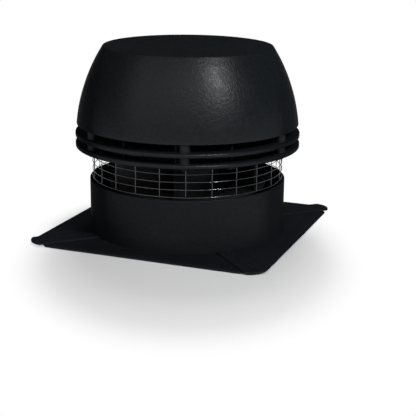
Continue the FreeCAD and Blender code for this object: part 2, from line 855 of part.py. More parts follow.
def hinge_arm():
    """The moving half of the hinge: a knuckle, a web and a flange under the ring."""
    body = new_body("hinge_arm")
    width = S["knuckle_width"]
    side_disc(body, "arm_knuckle", S["knuckle_radius"], -width / 2, width)
    web = pivot_back - S["hinge_plate"]
    side_pad(body, "arm_web", [
        (web, pivot_height), (pivot_back, pivot_height),
        (pivot_back, lower_ring_low), (web, lower_ring_low),
    ], -width / 2, width)
    side_pad(body, "arm_flange", [
        (arm_flange_front, arm_flange_low),
        (arm_flange_back, arm_flange_low),
        (arm_flange_back, lower_ring_low),
        (arm_flange_front, lower_ring_low),
    ], -S["arm_flange_width"] / 2, S["arm_flange_width"])
    pin_hole(body, "arm_pin_hole")
    holes = new_sketch(body, "arm_bolt_holes_sketch", "XY_Plane", lower_ring_low)
    for across in (-1.0, 1.0):
        add_circle(holes, arm_bolt_centre(across), S["bracket_bolt_radius"] + S["bolt_play"])
    pocket(body, holes, S["hinge_plate"], "arm_bolt_holes")
    return body


def arm_bolt_centre(across):
    return (S["arm_flange_width"] * 0.33 * across, arm_flange_front + S["arm_bolt_setback"])


def hinge_arm_bolts():
    body = new_body("hinge_arm_bolts")
    for name, across in (("right_arm_bolt", 1.0), ("left_arm_bolt", -1.0)):
        bolt_features(body, name, arm_bolt_centre(across), S["bracket_bolt_radius"], arm_flange_low,
                      S["hinge_plate"] + S["ring_thickness"] * SCREW_DEPTH, False)
    return body


# guard


def guard_hoops():
    """The level wires of the guard, one closed hoop above the other."""
    body = new_body("guard_hoops")
    inside, outside = guard_radius - half_wire, guard_radius + half_wire
    hoops = new_sketch(body, "hoops_sketch", "XZ_Plane")
    for index in range(SIZES["hoop_count"]):
        middle = first_hoop + S["guard_pitch"] * index
        low, high = middle - half_wire, middle + half_wire
        add_outline(hoops, [(inside, low), (outside, low), (outside, high), (inside, high)])
    revolve(body, hoops, "hoops")
    return body


def guard_uprights():
    """The upright wires of the guard, which the hoops are welded to from outside."""
    body = new_body("guard_uprights")
    low = first_hoop - half_wire
    outside = guard_radius - half_wire - S["seat_gap"]
    wire = new_sketch(body, "upright_sketch", "XY_Plane", low)
    add_outline(wire, strip(outside - S["wire_size"], outside, half_wire, S["upright_angle"]))
    upright = pad(body, wire, lower_ring_low - S["seat_gap"] - low, "upright")
    around(body, [upright], S["upright_count"], "uprights")
    return body


def guard_clips():
    """Clips that hold the guard's top hoop up against the lower ring."""
    body = new_body("guard_clips")
    tongue = new_sketch(body, "clip_tongue_sketch", "XY_Plane", hoop_low)
    half = S["clip_width"] / 2
    back = clip_screw_circle + S["clip_width"] / 2
    add_outline(tongue, strip(guard_radius - 2 * S["wire_size"], back, half, S["clip_angle"]))
    tongue_pad = pad(body, tongue, S["clip_sheet"], "clip_tongue", reverse=True)
    foot = new_sketch(body, "clip_foot_sketch", "XY_Plane", hoop_low)
    add_outline(foot, strip(clip_screw_circle - S["clip_width"] / 2, back, half, S["clip_angle"]))
    foot_pad = pad(body, foot, lower_ring_low - hoop_low, "clip_foot")
    around(body, [tongue_pad, foot_pad], S["clip_count"], "clips")
    hole = drill(body, "clip_hole", clip_screw_centre, S["clip_screw_radius"] + S["bolt_play"],
                 lower_ring_low, lower_ring_low - hoop_low + S["clip_sheet"])
    around(body, [hole], S["clip_count"], "clip_holes")
    return body


# louvre rings and dome


def louvre_ring(label, low, gap):
    """A cast ring with a round outer edge, and thin ribs up to what lies above."""
    top = low + S["ring_thickness"]
    fillet = S["ring_edge_fillet"]
    body = turned(label, [
        (ring_inner_radius, low),
        (ring_radius - fillet, low),
        (ring_radius, low + fillet),
        (ring_radius, top - fillet),
        (ring_radius - fillet, top),
        (ring_inner_radius, top),
    ], {1: (fillet, True), 3: (fillet, True)})
    rib = new_sketch(body, f"{label}_rib_sketch", "XY_Plane", top - S["rib_root"])
    add_outline(rib, strip(rib_start, rib_end, S["rib_width"] / 2, S["rib_angle"]))
    rib_pad = pad(body, rib, gap + S["rib_root"], f"{label}_rib")
    around(body, [rib_pad], S["rib_count"], f"{label}_ribs")
    hole = drill(body, f"{label}_bolt_hole", pillar_centre,
                 S["stack_bolt_radius"] + S["bolt_play"], top, S["ring_thickness"])
    around(body, [hole], S["pillar_count"], f"{label}_bolt_holes")
    return body


def lower_ring():
    body = louvre_ring("lower_ring", lower_ring_low, S["lower_gap"])
    depth = S["ring_thickness"] * HOLE_DEPTH
    screws = drill(body, "ring_plate_screw_hole", plate_screw_centre,
                   S["plate_screw_radius"] + S["bolt_play"], lower_ring_top, depth)
    around(body, [screws], S["plate_screw_count"], "ring_plate_screw_holes")
    clips = new_sketch(body, "ring_clip_hole_sketch", "XY_Plane", lower_ring_low)
    add_circle(clips, clip_screw_centre, S["clip_screw_radius"] + S["bolt_play"])
    clip_hole = pocket(body, clips, depth, "ring_clip_hole", reverse=True)
    around(body, [clip_hole], S["clip_count"], "ring_clip_holes")
    arms = new_sketch(body, "ring_arm_hole_sketch", "XY_Plane", lower_ring_low)
    for across in (-1.0, 1.0):
        add_circle(arms, arm_bolt_centre(across), S["bracket_bolt_radius"] + S["bolt_play"])
    pocket(body, arms, depth, "ring_arm_holes", reverse=True)
    return body


def edge_at(body, radius, height):
    """Return the name of the round edge with a radius, at a height."""
    doc.recompute()
    for index, edge in enumerate(body.Shape.Edges, start=1):
        curve = edge.Curve
        if not isinstance(curve, Part.Circle):
            continue
        misses = (curve.Radius - radius.number, curve.Center.z - height.number)
        if max(abs(miss) for miss in misses) < 1e-3:
            return f"Edge{index}"
    raise ValueError(f"{body.Label} has no edge there")


def dome():
    """The cast cover: a wall that curves in towards a flat lid."""
    wall = S["dome_wall"]
    flange_top = rim + S["rim_flange_height"]
    body = turned("dome", [
        (rim_flange_radius, rim),
        (dome_radius, rim),
        (lid_radius, dome_top),
        (0, dome_top),
        (0, dome_top - wall),
        (lid_radius - wall * 0.6, dome_top - wall),
        (dome_radius - wall * 1.1, flange_top),
        (rim_flange_radius, flange_top),
    ], {1: (S["dome_wall_curve"], True), 5: (S["dome_wall_curve"] - wall, False)})
    crease = (body.Tip, [edge_at(body, lid_radius, dome_top)])
    fillet = body.newObject("PartDesign::Fillet", "lid_edge")
    fillet.Base = crease
    fillet.Radius = size(S["lid_edge_fillet"]).number
    bind(fillet, "Radius", S["lid_edge_fillet"])
    body.Tip = fillet
    boss = new_sketch(body, "boss_sketch", "XY_Plane", rim)
    add_circle(boss, pillar_centre, S["boss_radius"])
    boss_pad = pad(body, boss, S["boss_height"], "boss")
    around(body, [boss_pad], S["pillar_count"], "bosses")
    doc.recompute()
    hole = new_sketch(body, "boss_hole_sketch", "XY_Plane", rim)
    add_circle(hole, pillar_centre, S["stack_bolt_radius"] + S["bolt_play"])
    boss_hole = pocket(body, hole, S["boss_height"] * HOLE_DEPTH, "boss_hole", reverse=True)
    around(body, [boss_hole], S["pillar_count"], "boss_holes")
    return body


# motor plate, heat shield and posts


def motor_plate():
    """The sheet that closes the motor's room off from the flue gas."""
    body = tube("motor_plate", S["shaft_hole_radius"], motor_plate_radius,
                lower_ring_top, motor_plate_top)
    air_hole_centre = polar(air_hole_circle, S["air_hole_angle"])
    play = S["bolt_play"]
    holes = (
        ("air_hole", air_hole_centre, S["air_hole_radius"], S["air_hole_count"]),
        ("plate_screw_hole", plate_screw_centre, S["plate_screw_radius"] + play, S["plate_screw_count"]),
        ("post_screw_hole", post_screw_centre, S["post_screw_radius"] + play, S["post_count"]),
        ("damper_bolt_hole", damper_centre, S["damper_bolt_radius"] + play, S["motor_foot_count"]),
    )
    for name, centre, radius, count in holes:
        hole = drill(body, name, centre, radius, motor_plate_top, S["motor_plate_thickness"])
        around(body, [hole], count, f"{name}s")
    return body


def support_post(label, turn):
    """A folded strip from the motor plate down to a lug inside the collar."""
    body = new_body(label, turn)
    half = S["post_width"] / 2
    low = ledge + S["seat_gap"]
    foot_end = wall_inside - S["post_foot_gap"]
    flange_end = post_inside - S["post_flange"]
    sketch = new_sketch(body, f"{label}_sketch", "XZ_Plane", -half)
    add_outline(sketch, [
        (post_inside, low),
        (foot_end, low),
        (foot_end, low + S["post_sheet"]),
        (post_circle, low + S["post_sheet"]),
        (post_circle, lower_ring_top),
        (flange_end, lower_ring_top),
        (flange_end, lower_ring_top - S["post_sheet"]),
        (post_inside, lower_ring_top - S["post_sheet"]),
    ])
    pad(body, sketch, S["post_width"], f"{label}_strip")
    drill(body, f"{label}_hole", (post_screw_circle, 0), S["post_screw_radius"] + S["bolt_play"],
          lower_ring_top, S["post_sheet"])
    return body


# motor


def lower_end_cap():
    seat = cap_low + S["end_cap_height"] - S["bearing_height"] - S["bearing_recess"]
    body = turned("lower_end_cap", [
        (S["shaft_radius"] * 1.5, cap_low),
        (S["motor_radius"], cap_low),
        (S["motor_radius"], housing_low),
        (S["bearing_radius"], housing_low),
        (S["bearing_radius"], seat),
        (S["shaft_radius"] * 1.5, seat),
    ])
    foot = new_sketch(body, "motor_foot_sketch", "XY_Plane", cap_low)
    add_outline(foot, strip(S["motor_radius"] * 0.85, damper_circle + S["damper_radius"],
                            S["damper_radius"], S["motor_foot_angle"]))
    foot_pad = pad(body, foot, S["motor_foot_height"], "motor_foot")
    around(body, [foot_pad], S["motor_foot_count"], "motor_feet")
    hole = drill(body, "motor_foot_hole", damper_centre, S["damper_bolt_radius"] + S["bolt_play"],
                 cap_low + S["motor_foot_height"], S["motor_foot_height"])
    around(body, [hole], S["motor_foot_count"], "motor_foot_holes")
    bolt = drill(body, "lower_cap_bolt_hole", cap_bolt_centre, S["cap_bolt_radius"] + S["bolt_play"],
                 housing_low, S["end_cap_height"] * 0.8)
    around(body, [bolt], S["motor_foot_count"], "lower_cap_bolt_holes")
    return body


def motor_housing():
    """A finned tube with a seat for the terminal box."""
    body = tube("motor_housing", stator_outer, S["motor_radius"], housing_low, housing_top)
    fin = new_sketch(body, "fin_sketch", "XY_Plane", housing_low)
    add_outline(fin, strip(S["motor_radius"] - S["fin_root"], S["motor_radius"] + S["fin_depth"],
                           S["fin_width"] / 2, 180.0 / SIZES["fin_count"]))
    fin_pad = pad(body, fin, S["motor_length"], "fin")
    around(body, [fin_pad], S["fin_count"], "fins")
    seat = new_sketch(body, "box_seat_sketch", "XY_Plane", box_low)
    add_outline(seat, strip(stator_outer + S["motor_wall"] / 2, box_near, S["box_width"] * 0.44, 0.0))
    pad(body, seat, S["box_height"], "box_seat")
    bolt = drill(body, "housing_bolt_hole", cap_bolt_centre, S["cap_bolt_radius"] + S["bolt_play"],
                 housing_top, S["motor_length"])
    around(body, [bolt], S["motor_foot_count"], "housing_bolt_holes")
    return body


def upper_end_cap():
    seat = housing_top + S["bearing_height"] + S["bearing_recess"]
    shoulder = S["motor_radius"] - S["cap_flange_width"]
    body = turned("upper_end_cap", [
        (S["bearing_radius"], housing_top),
        (S["motor_radius"], housing_top),
        (S["motor_radius"], end_cap_flange),
        (shoulder, end_cap_flange),
        (shoulder - S["cap_slope"], housing_top + S["end_cap_height"]),
        (0, housing_top + S["end_cap_height"]),
        (0, seat),
        (S["bearing_radius"], seat),
    ])
    bolt = drill(body, "upper_cap_bolt_hole", cap_bolt_centre, S["cap_bolt_radius"] + S["bolt_play"],
                 end_cap_flange, S["end_cap_height"] * 0.6)
    around(body, [bolt], S["motor_foot_count"], "upper_cap_bolt_holes")
    return body


def windings():
    """The coil ends above and below the stator's core."""
    body = new_body("windings")
    sketch = new_sketch(body, "windings_sketch", "XZ_Plane")
    inner, outer = stator_inner + S["coil_inset"], stator_outer - S["coil_inset"]
    for low in (stator_low - S["coil_height"], stator_top):
        high = low + S["coil_height"]
        add_outline(sketch, [(inner, low), (outer, low), (outer, high), (inner, high)])
    revolve(body, sketch, "coil_ends")
    return body


def box_solid(label, near, far, width, low, height):
    body = new_body(label)
    sketch = new_sketch(body, f"{label}_sketch", "XY_Plane", low)
    add_outline(sketch, strip(near, far, size(width) / 2, 0.0))
    pad(body, sketch, height, f"{label}_block")
    return body


def terminal_box():
    box_solid("terminal_box", box_near, box_far, S["box_width"], box_low, S["box_height"])
    lap = S["box_lid_lap"]
    box_solid("terminal_box_lid", box_far, box_far + S["box_lid_thickness"], S["box_width"] + lap * 2,
              box_low - lap, S["box_height"] + lap * 2)


def cable_gland():
    """A hollow gland under the terminal box, for the supply lead."""
    gland = new_body("cable_gland")
    centre = ((box_near + box_far) / 2, 0)
    nut = new_sketch(gland, "gland_nut_sketch", "XY_Plane", box_low)
    add_hexagon(nut, centre, S["gland_radius"] * 1.3)
    pad(gland, nut, S["gland_radius"] * 0.6, "gland_nut", reverse=True)
    stem = new_sketch(gland, "gland_stem_sketch", "XY_Plane", box_low)
    add_circle(stem, centre, S["gland_radius"])
    pad(gland, stem, S["gland_radius"] * 1.6, "gland_stem", reverse=True)
    bore = new_sketch(gland, "gland_bore_sketch", "XY_Plane", box_low)
    add_circle(bore, centre, S["gland_radius"] * 0.6)
    pocket(gland, bore, S["gland_radius"] * 1.6, "gland_bore")


def capacitor():
    centre = (-capacitor_place, 0)
    round_pieces("capacitor", centre, S["capacitor_radius"], motor_plate_top, S["capacitor_height"], 1)
    round_pieces("capacitor_clip", centre, S["capacitor_radius"] + S["clip_band"], motor_plate_top,
                 S["clip_band_height"], 1, bore=S["capacitor_radius"] + S["bolt_play"])


# running gear


def shaft():
    low = hub_low - S["nut_height"] - S["shaft_end"]
    high = housing_top + S["bearing_height"]
    round_pieces("shaft", (0, 0), S["shaft_radius"], low, high - low, 1)


def impeller_hub():
    body = turned("impeller_hub", [
        (shaft_bore, hub_low),
        (S["hub_radius"] - S["hub_chamfer"], hub_low),
        (S["hub_radius"], hub_low + S["hub_chamfer"]),
        (S["hub_radius"], backplate_low - S["hub_flange_thickness"]),
        (S["hub_flange_radius"], backplate_low - S["hub_flange_thickness"]),
        (S["hub_flange_radius"], backplate_low),
        (S["hub_radius"], backplate_low),
        (S["hub_radius"], hub_top),
        (shaft_bore, hub_top),
    ])
    hole = drill(body, "hub_rivet_hole", hub_rivet_centre, S["rivet_radius"] + S["bolt_play"],
                 backplate_low, S["hub_flange_thickness"])
    around(body, [hole], S["hub_rivet_count"], "hub_rivet_holes")
    return body


def impeller_backplate():
    body = tube("impeller_backplate", S["hub_radius"] + S["bolt_play"], impeller_radius,
                backplate_low, backplate_top)
    hole = drill(body, "backplate_rivet_hole", hub_rivet_centre, S["rivet_radius"] + S["bolt_play"],
                 backplate_top, S["impeller_sheet"])
    around(body, [hole], S["hub_rivet_count"], "backplate_rivet_holes")
    return body


def impeller_blades():
    """Blades that curve back from the eye to the rim, between the two discs."""
    body = new_body("impeller_blades", SIZES["blade_angle"])
    inner, thickness, bend = blade_inner_radius, S["blade_thickness"], S["blade_curve"]
    start = (inner, size(0))
    end = polar(impeller_radius - S["blade_margin"], -S["blade_sweep"])
    chord = (end[0] - start[0], end[1] - start[1])
    length = root(chord[0] * chord[0] + chord[1] * chord[1])
    drop = root(bend * bend - length * length / 4) / length
    centre = ((start[0] + end[0]) / 2 + chord[1] * drop, (start[1] + end[1]) / 2 - chord[0] * drop)
    share = (bend + thickness) / bend

    def outside(point):
        return (centre[0] + (point[0] - centre[0]) * share, centre[1] + (point[1] - centre[1]) * share)

    sketch = new_sketch(body, "blade_sketch", "XY_Plane", blade_low)
    add_outline(sketch, [start, end, outside(end), outside(start)],
                {0: (bend, False), 2: (bend + thickness, True)})
    blade = pad(body, sketch, S["blade_height"], "blade")
    around(body, [blade], S["blade_count"], "blades")
    return body


def cooling_disc():
    """A small vaned disc that moves cooling air between shield and motor plate."""
    low = shield_top + S["cooling_disc_gap"]
    body = tube("cooling_disc", shaft_bore, S["cooling_disc_radius"], low, low + S["cone_sheet"])
    vane = new_sketch(body, "vane_sketch", "XY_Plane", low + S["cone_sheet"] / 2)
    add_outline(vane, strip(S["cooling_disc_radius"] * 0.45, S["cooling_disc_radius"] - S["vane_inset"],
                            S["cone_sheet"] / 2, 0.0))
    vane_pad = pad(body, vane, S["shield_drop"] - S["cone_sheet"] - S["cooling_disc_gap"] * 2, "vane")
    around(body, [vane_pad], S["vane_count"], "vanes")
    return body


def hub_nut():
    body = new_body("hub_nut")
    sketch = new_sketch(body, "hub_nut_sketch", "XY_Plane", hub_low)
    add_hexagon(sketch, (size(0), size(0)), S["shaft_radius"] * 1.7)
    add_circle(sketch, (0, 0), shaft_bore)
    pad(body, sketch, S["nut_height"], "hub_nut_block", reverse=True)
    return body


def build_base():
    for index, name in enumerate(("front", "right", "back", "left")):
        side_plate(f"{name}_plate", side_turn * index)
    for index, name in enumerate(("front_right", "back_right", "back_left", "front_left")):
        corner_strap(f"{name}_strap", side_turn * index - corner_turn)
    rivets("strap_rivets", [(reach, 0) for reach in rivet_reaches], strap_top, strap_top,
           S["side_count"], corner_turn)
    collar()
    bolts("collar_screws", foot_screw_centre, S["foot_screw_radius"], foot_top,
          foot_top - S["screw_end_gap"], S["foot_screw_count"])
    inlet_cone()
    rivets("inlet_cone_rivets", [cone_rivet_centre], foot_top + S["cone_sheet"],
           S["cone_sheet"] + S["foot_height"], S["cone_rivet_count"])
    hinge_bracket()
    hinge_bracket_bolts()
    hinge_pin()


def build_top():
    lower_ring()
    louvre_ring("upper_ring", upper_ring_low, S["upper_gap"])
    bore = S["stack_bolt_radius"] + S["bolt_play"]
    round_pieces("lower_pillars", pillar_centre, S["pillar_radius"], lower_ring_top, S["lower_gap"],
                 S["pillar_count"], bore)
    round_pieces("upper_pillars", pillar_centre, S["pillar_radius"], upper_ring_top, S["upper_gap"],
                 S["pillar_count"], bore)
    dome()
    bolts("stack_bolts", pillar_centre, S["stack_bolt_radius"], lower_ring_low,
          rim - lower_ring_low + S["boss_height"] * SCREW_DEPTH, S["pillar_count"], up=False)
    motor_plate()
    bolts("motor_plate_screws", plate_screw_centre, S["plate_screw_radius"], motor_plate_top,
          S["motor_plate_thickness"] + S["ring_thickness"] * SCREW_DEPTH, S["plate_screw_count"])
    tube("heat_shield", S["shaft_hole_radius"], shield_radius, shield_low, shield_top)
    round_pieces("shield_spacers", polar(shield_spacer_circle, 0.0), S["shield_spacer_radius"],
                 shield_top, S["shield_drop"], S["shield_spacer_count"])
    for index, name in enumerate(("right_post", "left_post", "front_post")):
        support_post(name, SIZES["post_angle"] + post_step * index)
    bolts("post_screws", post_screw_centre, S["post_screw_radius"], motor_plate_top,
          S["motor_plate_thickness"] + S["post_sheet"] + S["screw_tip"], S["post_count"])
    guard_hoops()
    guard_uprights()
    guard_clips()
    clip_low = hoop_low - S["clip_sheet"]
    bolts("clip_screws", clip_screw_centre, S["clip_screw_radius"], clip_low,
          lower_ring_low + S["ring_thickness"] * SCREW_DEPTH - clip_low, S["clip_count"], up=False)
    hinge_arm()
    hinge_arm_bolts()


def build_motor():
    round_pieces("motor_dampers", damper_centre, S["damper_radius"], motor_plate_top, S["damper_height"],
                 S["motor_foot_count"], S["damper_bolt_radius"] + S["bolt_play"])
    bolts("damper_bolts", damper_centre, S["damper_bolt_radius"], cap_low + S["motor_foot_height"],
          S["motor_foot_height"] + S["damper_height"] + S["motor_plate_thickness"] + S["screw_tip"],
          S["motor_foot_count"])
    lower_end_cap()
    motor_housing()
    upper_end_cap()
    bolts("end_cap_bolts", cap_bolt_centre, S["cap_bolt_radius"], end_cap_flange,
          end_cap_flange - housing_low + S["end_cap_height"] * 0.7, S["motor_foot_count"])
    seat = housing_low - S["bearing_recess"] - S["bearing_height"]
    bore = S["shaft_radius"] + S["shaft_fit"]
    tube("lower_bearing", bore, S["bearing_radius"], seat, seat + S["bearing_height"])
    tube("upper_bearing", bore, S["bearing_radius"], housing_top + S["bearing_recess"],
         housing_top + S["bearing_recess"] + S["bearing_height"])
    tube("stator", stator_inner, stator_outer, stator_low, stator_top)
    windings()
    terminal_box()
    cable_gland()
    capacitor()


def build_running_gear():
    shaft()
    tube("rotor_core", shaft_bore, rotor_radius, stator_low, stator_top)
    cooling_disc()
    impeller_hub()
    impeller_backplate()
    impeller_blades()
    tube("impeller_front_ring", impeller_eye_radius, impeller_radius, front_ring_low, blade_low)
    rivets("hub_rivets", [hub_rivet_centre], backplate_top,
           S["impeller_sheet"] + S["hub_flange_thickness"], S["hub_rivet_count"])
    hub_nut()


def check_document():
    """Stop if any object failed, or a sub-part has no sound solid."""
    doc.recompute()
    for item in doc.Objects:
        if "Invalid" in item.State or "Error" in item.State:
            raise RuntimeError(f"{item.Name} failed: {item.State}")
    for part in parts:
        if part.Shape.isNull() or not part.Shape.isValid() or not part.Shape.Solids:
            raise RuntimeError(f"{part.Label} has no sound solid")


def write_parts():
    os.makedirs("parts", exist_ok=True)
    for part in parts:
        part.Shape.exportStep(f"parts/{part.Label}.step")


build_base()
build_top()
build_motor()
build_running_gear()
check_document()
write_parts()
print(len(parts), "sub-parts,", sum(len(part.Shape.Solids) for part in parts), "solids")
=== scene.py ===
import json
import logging
import math
from dataclasses import dataclass, replace
from enum import Enum

import bmesh
import bpy
import numpy as np
from mathutils import Matrix, Vector


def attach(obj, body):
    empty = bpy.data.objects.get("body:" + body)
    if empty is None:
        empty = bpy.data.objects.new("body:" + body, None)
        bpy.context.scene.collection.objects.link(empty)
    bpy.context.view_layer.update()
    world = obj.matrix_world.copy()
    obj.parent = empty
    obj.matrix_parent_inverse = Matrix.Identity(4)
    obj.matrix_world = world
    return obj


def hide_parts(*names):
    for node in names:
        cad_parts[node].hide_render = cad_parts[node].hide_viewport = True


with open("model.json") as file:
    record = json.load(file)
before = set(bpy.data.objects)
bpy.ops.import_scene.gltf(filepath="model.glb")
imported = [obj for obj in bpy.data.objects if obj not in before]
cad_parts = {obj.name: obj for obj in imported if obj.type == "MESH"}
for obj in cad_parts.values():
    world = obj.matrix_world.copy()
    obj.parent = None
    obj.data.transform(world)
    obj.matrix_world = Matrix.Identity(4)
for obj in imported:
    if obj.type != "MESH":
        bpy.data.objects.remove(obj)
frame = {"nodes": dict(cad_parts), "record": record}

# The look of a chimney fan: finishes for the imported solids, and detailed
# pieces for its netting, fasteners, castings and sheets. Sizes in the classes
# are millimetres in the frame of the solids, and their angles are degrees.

Array = np.ndarray
Pair = tuple[float, float]
Point = tuple[float, float, float]
Seat = tuple[Point, Point, float]
Edges = tuple[tuple[float, tuple[str, ...]], ...]
Node = bpy.types.Node
Socket = bpy.types.NodeSocket
Tree = bpy.types.NodeTree

MM = 0.001
UP: Point = (0.0, 0.0, 1.0)
DOWN: Point = (0.0, 0.0, -1.0)
WHITE = (1.0, 1.0, 1.0, 1.0)
DUST = (0.16, 0.155, 0.145, 1.0)
# The gloss fades between these views, from facing to grazing.
SLANTS = (0.12, 0.52)
# Painted light on upright faces fades between these shares of the normal along Z: a face below the first
# counts as upright, above the second as level.
LEVELS = (0.5, 0.95)
# Roughness varies by this share of itself.
ROUGHNESS_SPREAD = 0.12
# Vertices nearer than this, in metres, are one.
MERGE_DISTANCE = 2e-6
# This stands in for a length of zero in a division.
SHORTEST = 1e-9
LOG = logging.getLogger("chimney_fan")


class Head(Enum):
    """The kinds of fastener head, which also end the pieces' names."""

    HEXAGON = "hexagon"
    PAN = "pan"
    DOMED = "domed"


# surfaces worked out as whole arrays


@dataclass(frozen=True)
class Grid:
    """A grid of points, in millimetres, that becomes a sheet of quads.

    Each row is a closed line of points.

    Attributes:
        points: array of shape (rows, columns, 3).
        wrap_rows: joins the last row to the first.
        caps: closes the first and the last row with one face each.
    """

    points: Array
    wrap_rows: bool = False
    caps: bool = False

    def faces(self, offset: int) -> list[list[int]]:
        """List the faces as vertex numbers.

        Args:
            offset: number of the grid's first vertex in the mesh.

        Returns:
            The quads, then the caps.
        """
        rows, columns = self.points.shape[:2]
        index = np.arange(rows * columns).reshape(rows, columns) + offset
        ends = [index[0, ::-1].tolist(), index[-1].tolist()]
        if self.wrap_rows:
            index = np.vstack([index, index[:1]])
        index = np.hstack([index, index[:, :1]])
        corners = (index[:-1, :-1], index[:-1, 1:], index[1:, 1:], index[1:, :-1])
        quads = np.stack(corners, -1).reshape(-1, 4).tolist()
        return quads + ends if self.caps else quads


def circle_angles(count: int) -> Array:
    """Return angles evenly round a circle, in radians."""
    return np.linspace(0, 2 * np.pi, count, endpoint=False)


def heading(angle: Array) -> Array:
    """Return the directions (cos a, sin a) of angles in radians."""
    return np.stack([np.cos(angle), np.sin(angle)], -1)


def wheel(radius: Array, angle: Array, height: Array) -> Array:
    """Return the points (r cos a, r sin a, h) of arrays that fit one shape."""
    return np.stack(np.broadcast_arrays(radius * np.cos(angle), radius * np.sin(angle), height), -1)


def polar(radius: float, degrees: float, height: float = 0.0) -> Point:
    """Return the point at a radius, an angle and a height."""
    angle = math.radians(degrees)
    return (radius * math.cos(angle), radius * math.sin(angle), height)


def rounded(corners: list[Pair], radii: float | list[float], steps: int) -> Array:
    """Round the corners of a closed outline.

    With points as complex numbers, each arc is centre + first e^(i t swing)
    for t from 0 to 1. Its centre lies on the corner's bisector, and first and
    last are the tangent points as seen from there.

    Args:
        corners: the outline's corners.
        radii: one radius for all corners, or one for each.
        steps: points on each arc.

    Returns:
        The outline's points, shape (corners * steps, 2).
    """
    corner = np.array(corners) @ (1, 1j)
    back, ahead = (np.roll(corner, way) - corner for way in (1, -1))
    back, ahead = back / abs(back), ahead / abs(ahead)
    half = np.arccos(np.clip((back * ahead.conj()).real, -1, 1)) / 2
    bisector = (back + ahead) / np.maximum(abs(back + ahead), SHORTEST)
    centre = corner + bisector * radii / np.sin(half)
    first, last = (corner + way * radii / np.tan(half) - centre for way in (back, ahead))
    swing = np.angle(last * first.conj())
    points = (centre + first * np.exp(1j * np.linspace(0, 1, steps)[:, None] * swing)).T.ravel()
    return np.stack([points.real, points.imag], -1)


def arc_between(start: Array, end: Array, radius: float, steps: int) -> tuple[Array, Array]:
    """Find the arc between two points.

    Its centre lies on the chord's normal, sqrt(r^2 - (chord / 2)^2) from the
    middle: on the left, or for a negative radius on the right.

    Args:
        start: the first point.
        end: the last point.
        radius: the arc's radius.
        steps: how many angles to give.

    Returns:
        The centre, and angles from the first point to the last, in radians.
    """
    ahead, aside = (end - start) / 2
    normal = np.array([-aside, ahead]) / math.hypot(ahead, aside)
    reach = math.copysign(math.sqrt(radius ** 2 - ahead ** 2 - aside ** 2), radius)
    centre = (start + end) / 2 + normal * reach
    return centre, np.linspace(*(math.atan2(*(point - centre)[::-1]) for point in (start, end)), steps)


def turned(outline: Array, segments: int) -> Grid:
    """Turn points (r, h) about Z: r cos a, r sin a, h. A line that starts on the axis also ends there."""
    points = wheel(outline[:, :1], circle_angles(segments), outline[:, 1:])
    return Grid(points, wrap_rows=outline[0, 0] > 0)


def barrel(reach: Pair, span: Pair, radii: float | list[float], steps: int, segments: int) -> Grid:
    """Turn a rectangle with rounded corners about Z, from its limits in radius and in height."""
    corners = [(reach[0], span[0]), (reach[1], span[0]), (reach[1], span[1]), (reach[0], span[1])]
    return turned(rounded(corners, radii, steps), segments)


def inset(outline: Array, distance: float) -> Array:
    """Move an outline's points inwards along their normals.

    Args:
        outline: anticlockwise points (x, y).
        distance: how far they move.

    Returns:
        The moved points.
    """
    along = np.roll(outline, -1, 0) - np.roll(outline, 1, 0)
    along /= np.maximum(np.linalg.norm(along, axis=1, keepdims=True), SHORTEST)
    return outline + np.stack([-along[:, 1], along[:, 0]], 1) * distance


def prism(outline: Array, low: float, high: float, edge: float, steps: int = 3) -> Grid:
    """Raise an outline between two heights, with rounded edges.

    A level t of the rounding lies edge (1 - sin t) inside the outline and
    edge (1 - cos t) from the end.

    Args:
        outline: anticlockwise points (x, y).
        low: height of the lower face.
        high: height of the upper face.
        edge: radius of the rounding.
        steps: levels of each rounding.

    Returns:
        The closed surface.
    """
    turn = np.linspace(0, np.pi / 2, steps)
    shrink = edge * (1 - np.sin(turn))
    rise = edge * (1 - np.cos(turn))
    insets = np.concatenate([shrink, shrink[::-1]])
    heights = np.concatenate([low + rise, (high - rise)[::-1]])
    levels = [np.insert(inset(outline, d), 2, z, 1) for d, z in zip(insets, heights)]
    return Grid(np.stack(levels), caps=True)


def rod(start: Point, end: Point, radius: float, levels: int, sway: float, phase: float) -> Grid:
    """Run a round wire between two points: centre + r (u cos a + v sin a).

    Args:
        start: centre of the first end.
        end: centre of the last end, not along X from the first.
        radius: radius of the wire.
        levels: rings along the wire.
        sway: how far the middle waves sideways.
        phase: start of the wave, in radians.

    Returns:
        The closed surface.
    """
    along = np.subtract(end, start) / math.dist(start, end)
    side = np.cross(along, (1.0, 0.0, 0.0))
    side /= np.linalg.norm(side)
    other = np.cross(along, side)
    part = np.linspace(0, 1, levels)[:, None, None]
    wave = sway * np.sin(part * 4 * np.pi + phase) * np.sin(part * np.pi)
    centre = start + np.subtract(end, start) * part + wave * other
    angle = circle_angles(10)[:, None]
    return Grid(centre + radius * (np.cos(angle) * side + np.sin(angle) * other), caps=True)


def bead(centre: Point, size: Point, spin: float) -> Grid:
    """Make an ellipsoid: centre + (a sin p cos q, b sin p sin q, c cos p), turned about Z."""
    down = np.linspace(0.0, np.pi, 6)[:, None]
    return moved(Grid(wheel(np.sin(down), circle_angles(8), np.cos(down)) * size), centre, spin=spin)


def moved(grid: Grid, to: Point, towards: Point = UP, spin: float = 0.0) -> Grid:
    """Turn a grid about its Z axis, point that axis in a direction, and move it.

    Args:
        grid: the surface, drawn at the origin.
        to: where its origin goes.
        towards: direction of its Z axis.
        spin: turn about that axis, in degrees.

    Returns:
        The placed surface.
    """
    turn = Vector(UP).rotation_difference(Vector(towards)).to_matrix()
    turn = turn @ Matrix.Rotation(math.radians(spin), 3, "Z")
    return replace(grid, points=grid.points @ np.array(turn).T + np.array(to))


def around(grid: Grid, count: int, first: float = 0.0) -> list[Grid]:
    """Repeat a surface evenly about the fan's axis, the first at an angle."""
    return [moved(grid, (0.0, 0.0, 0.0), spin=first + 360.0 * number / count) for number in range(count)]


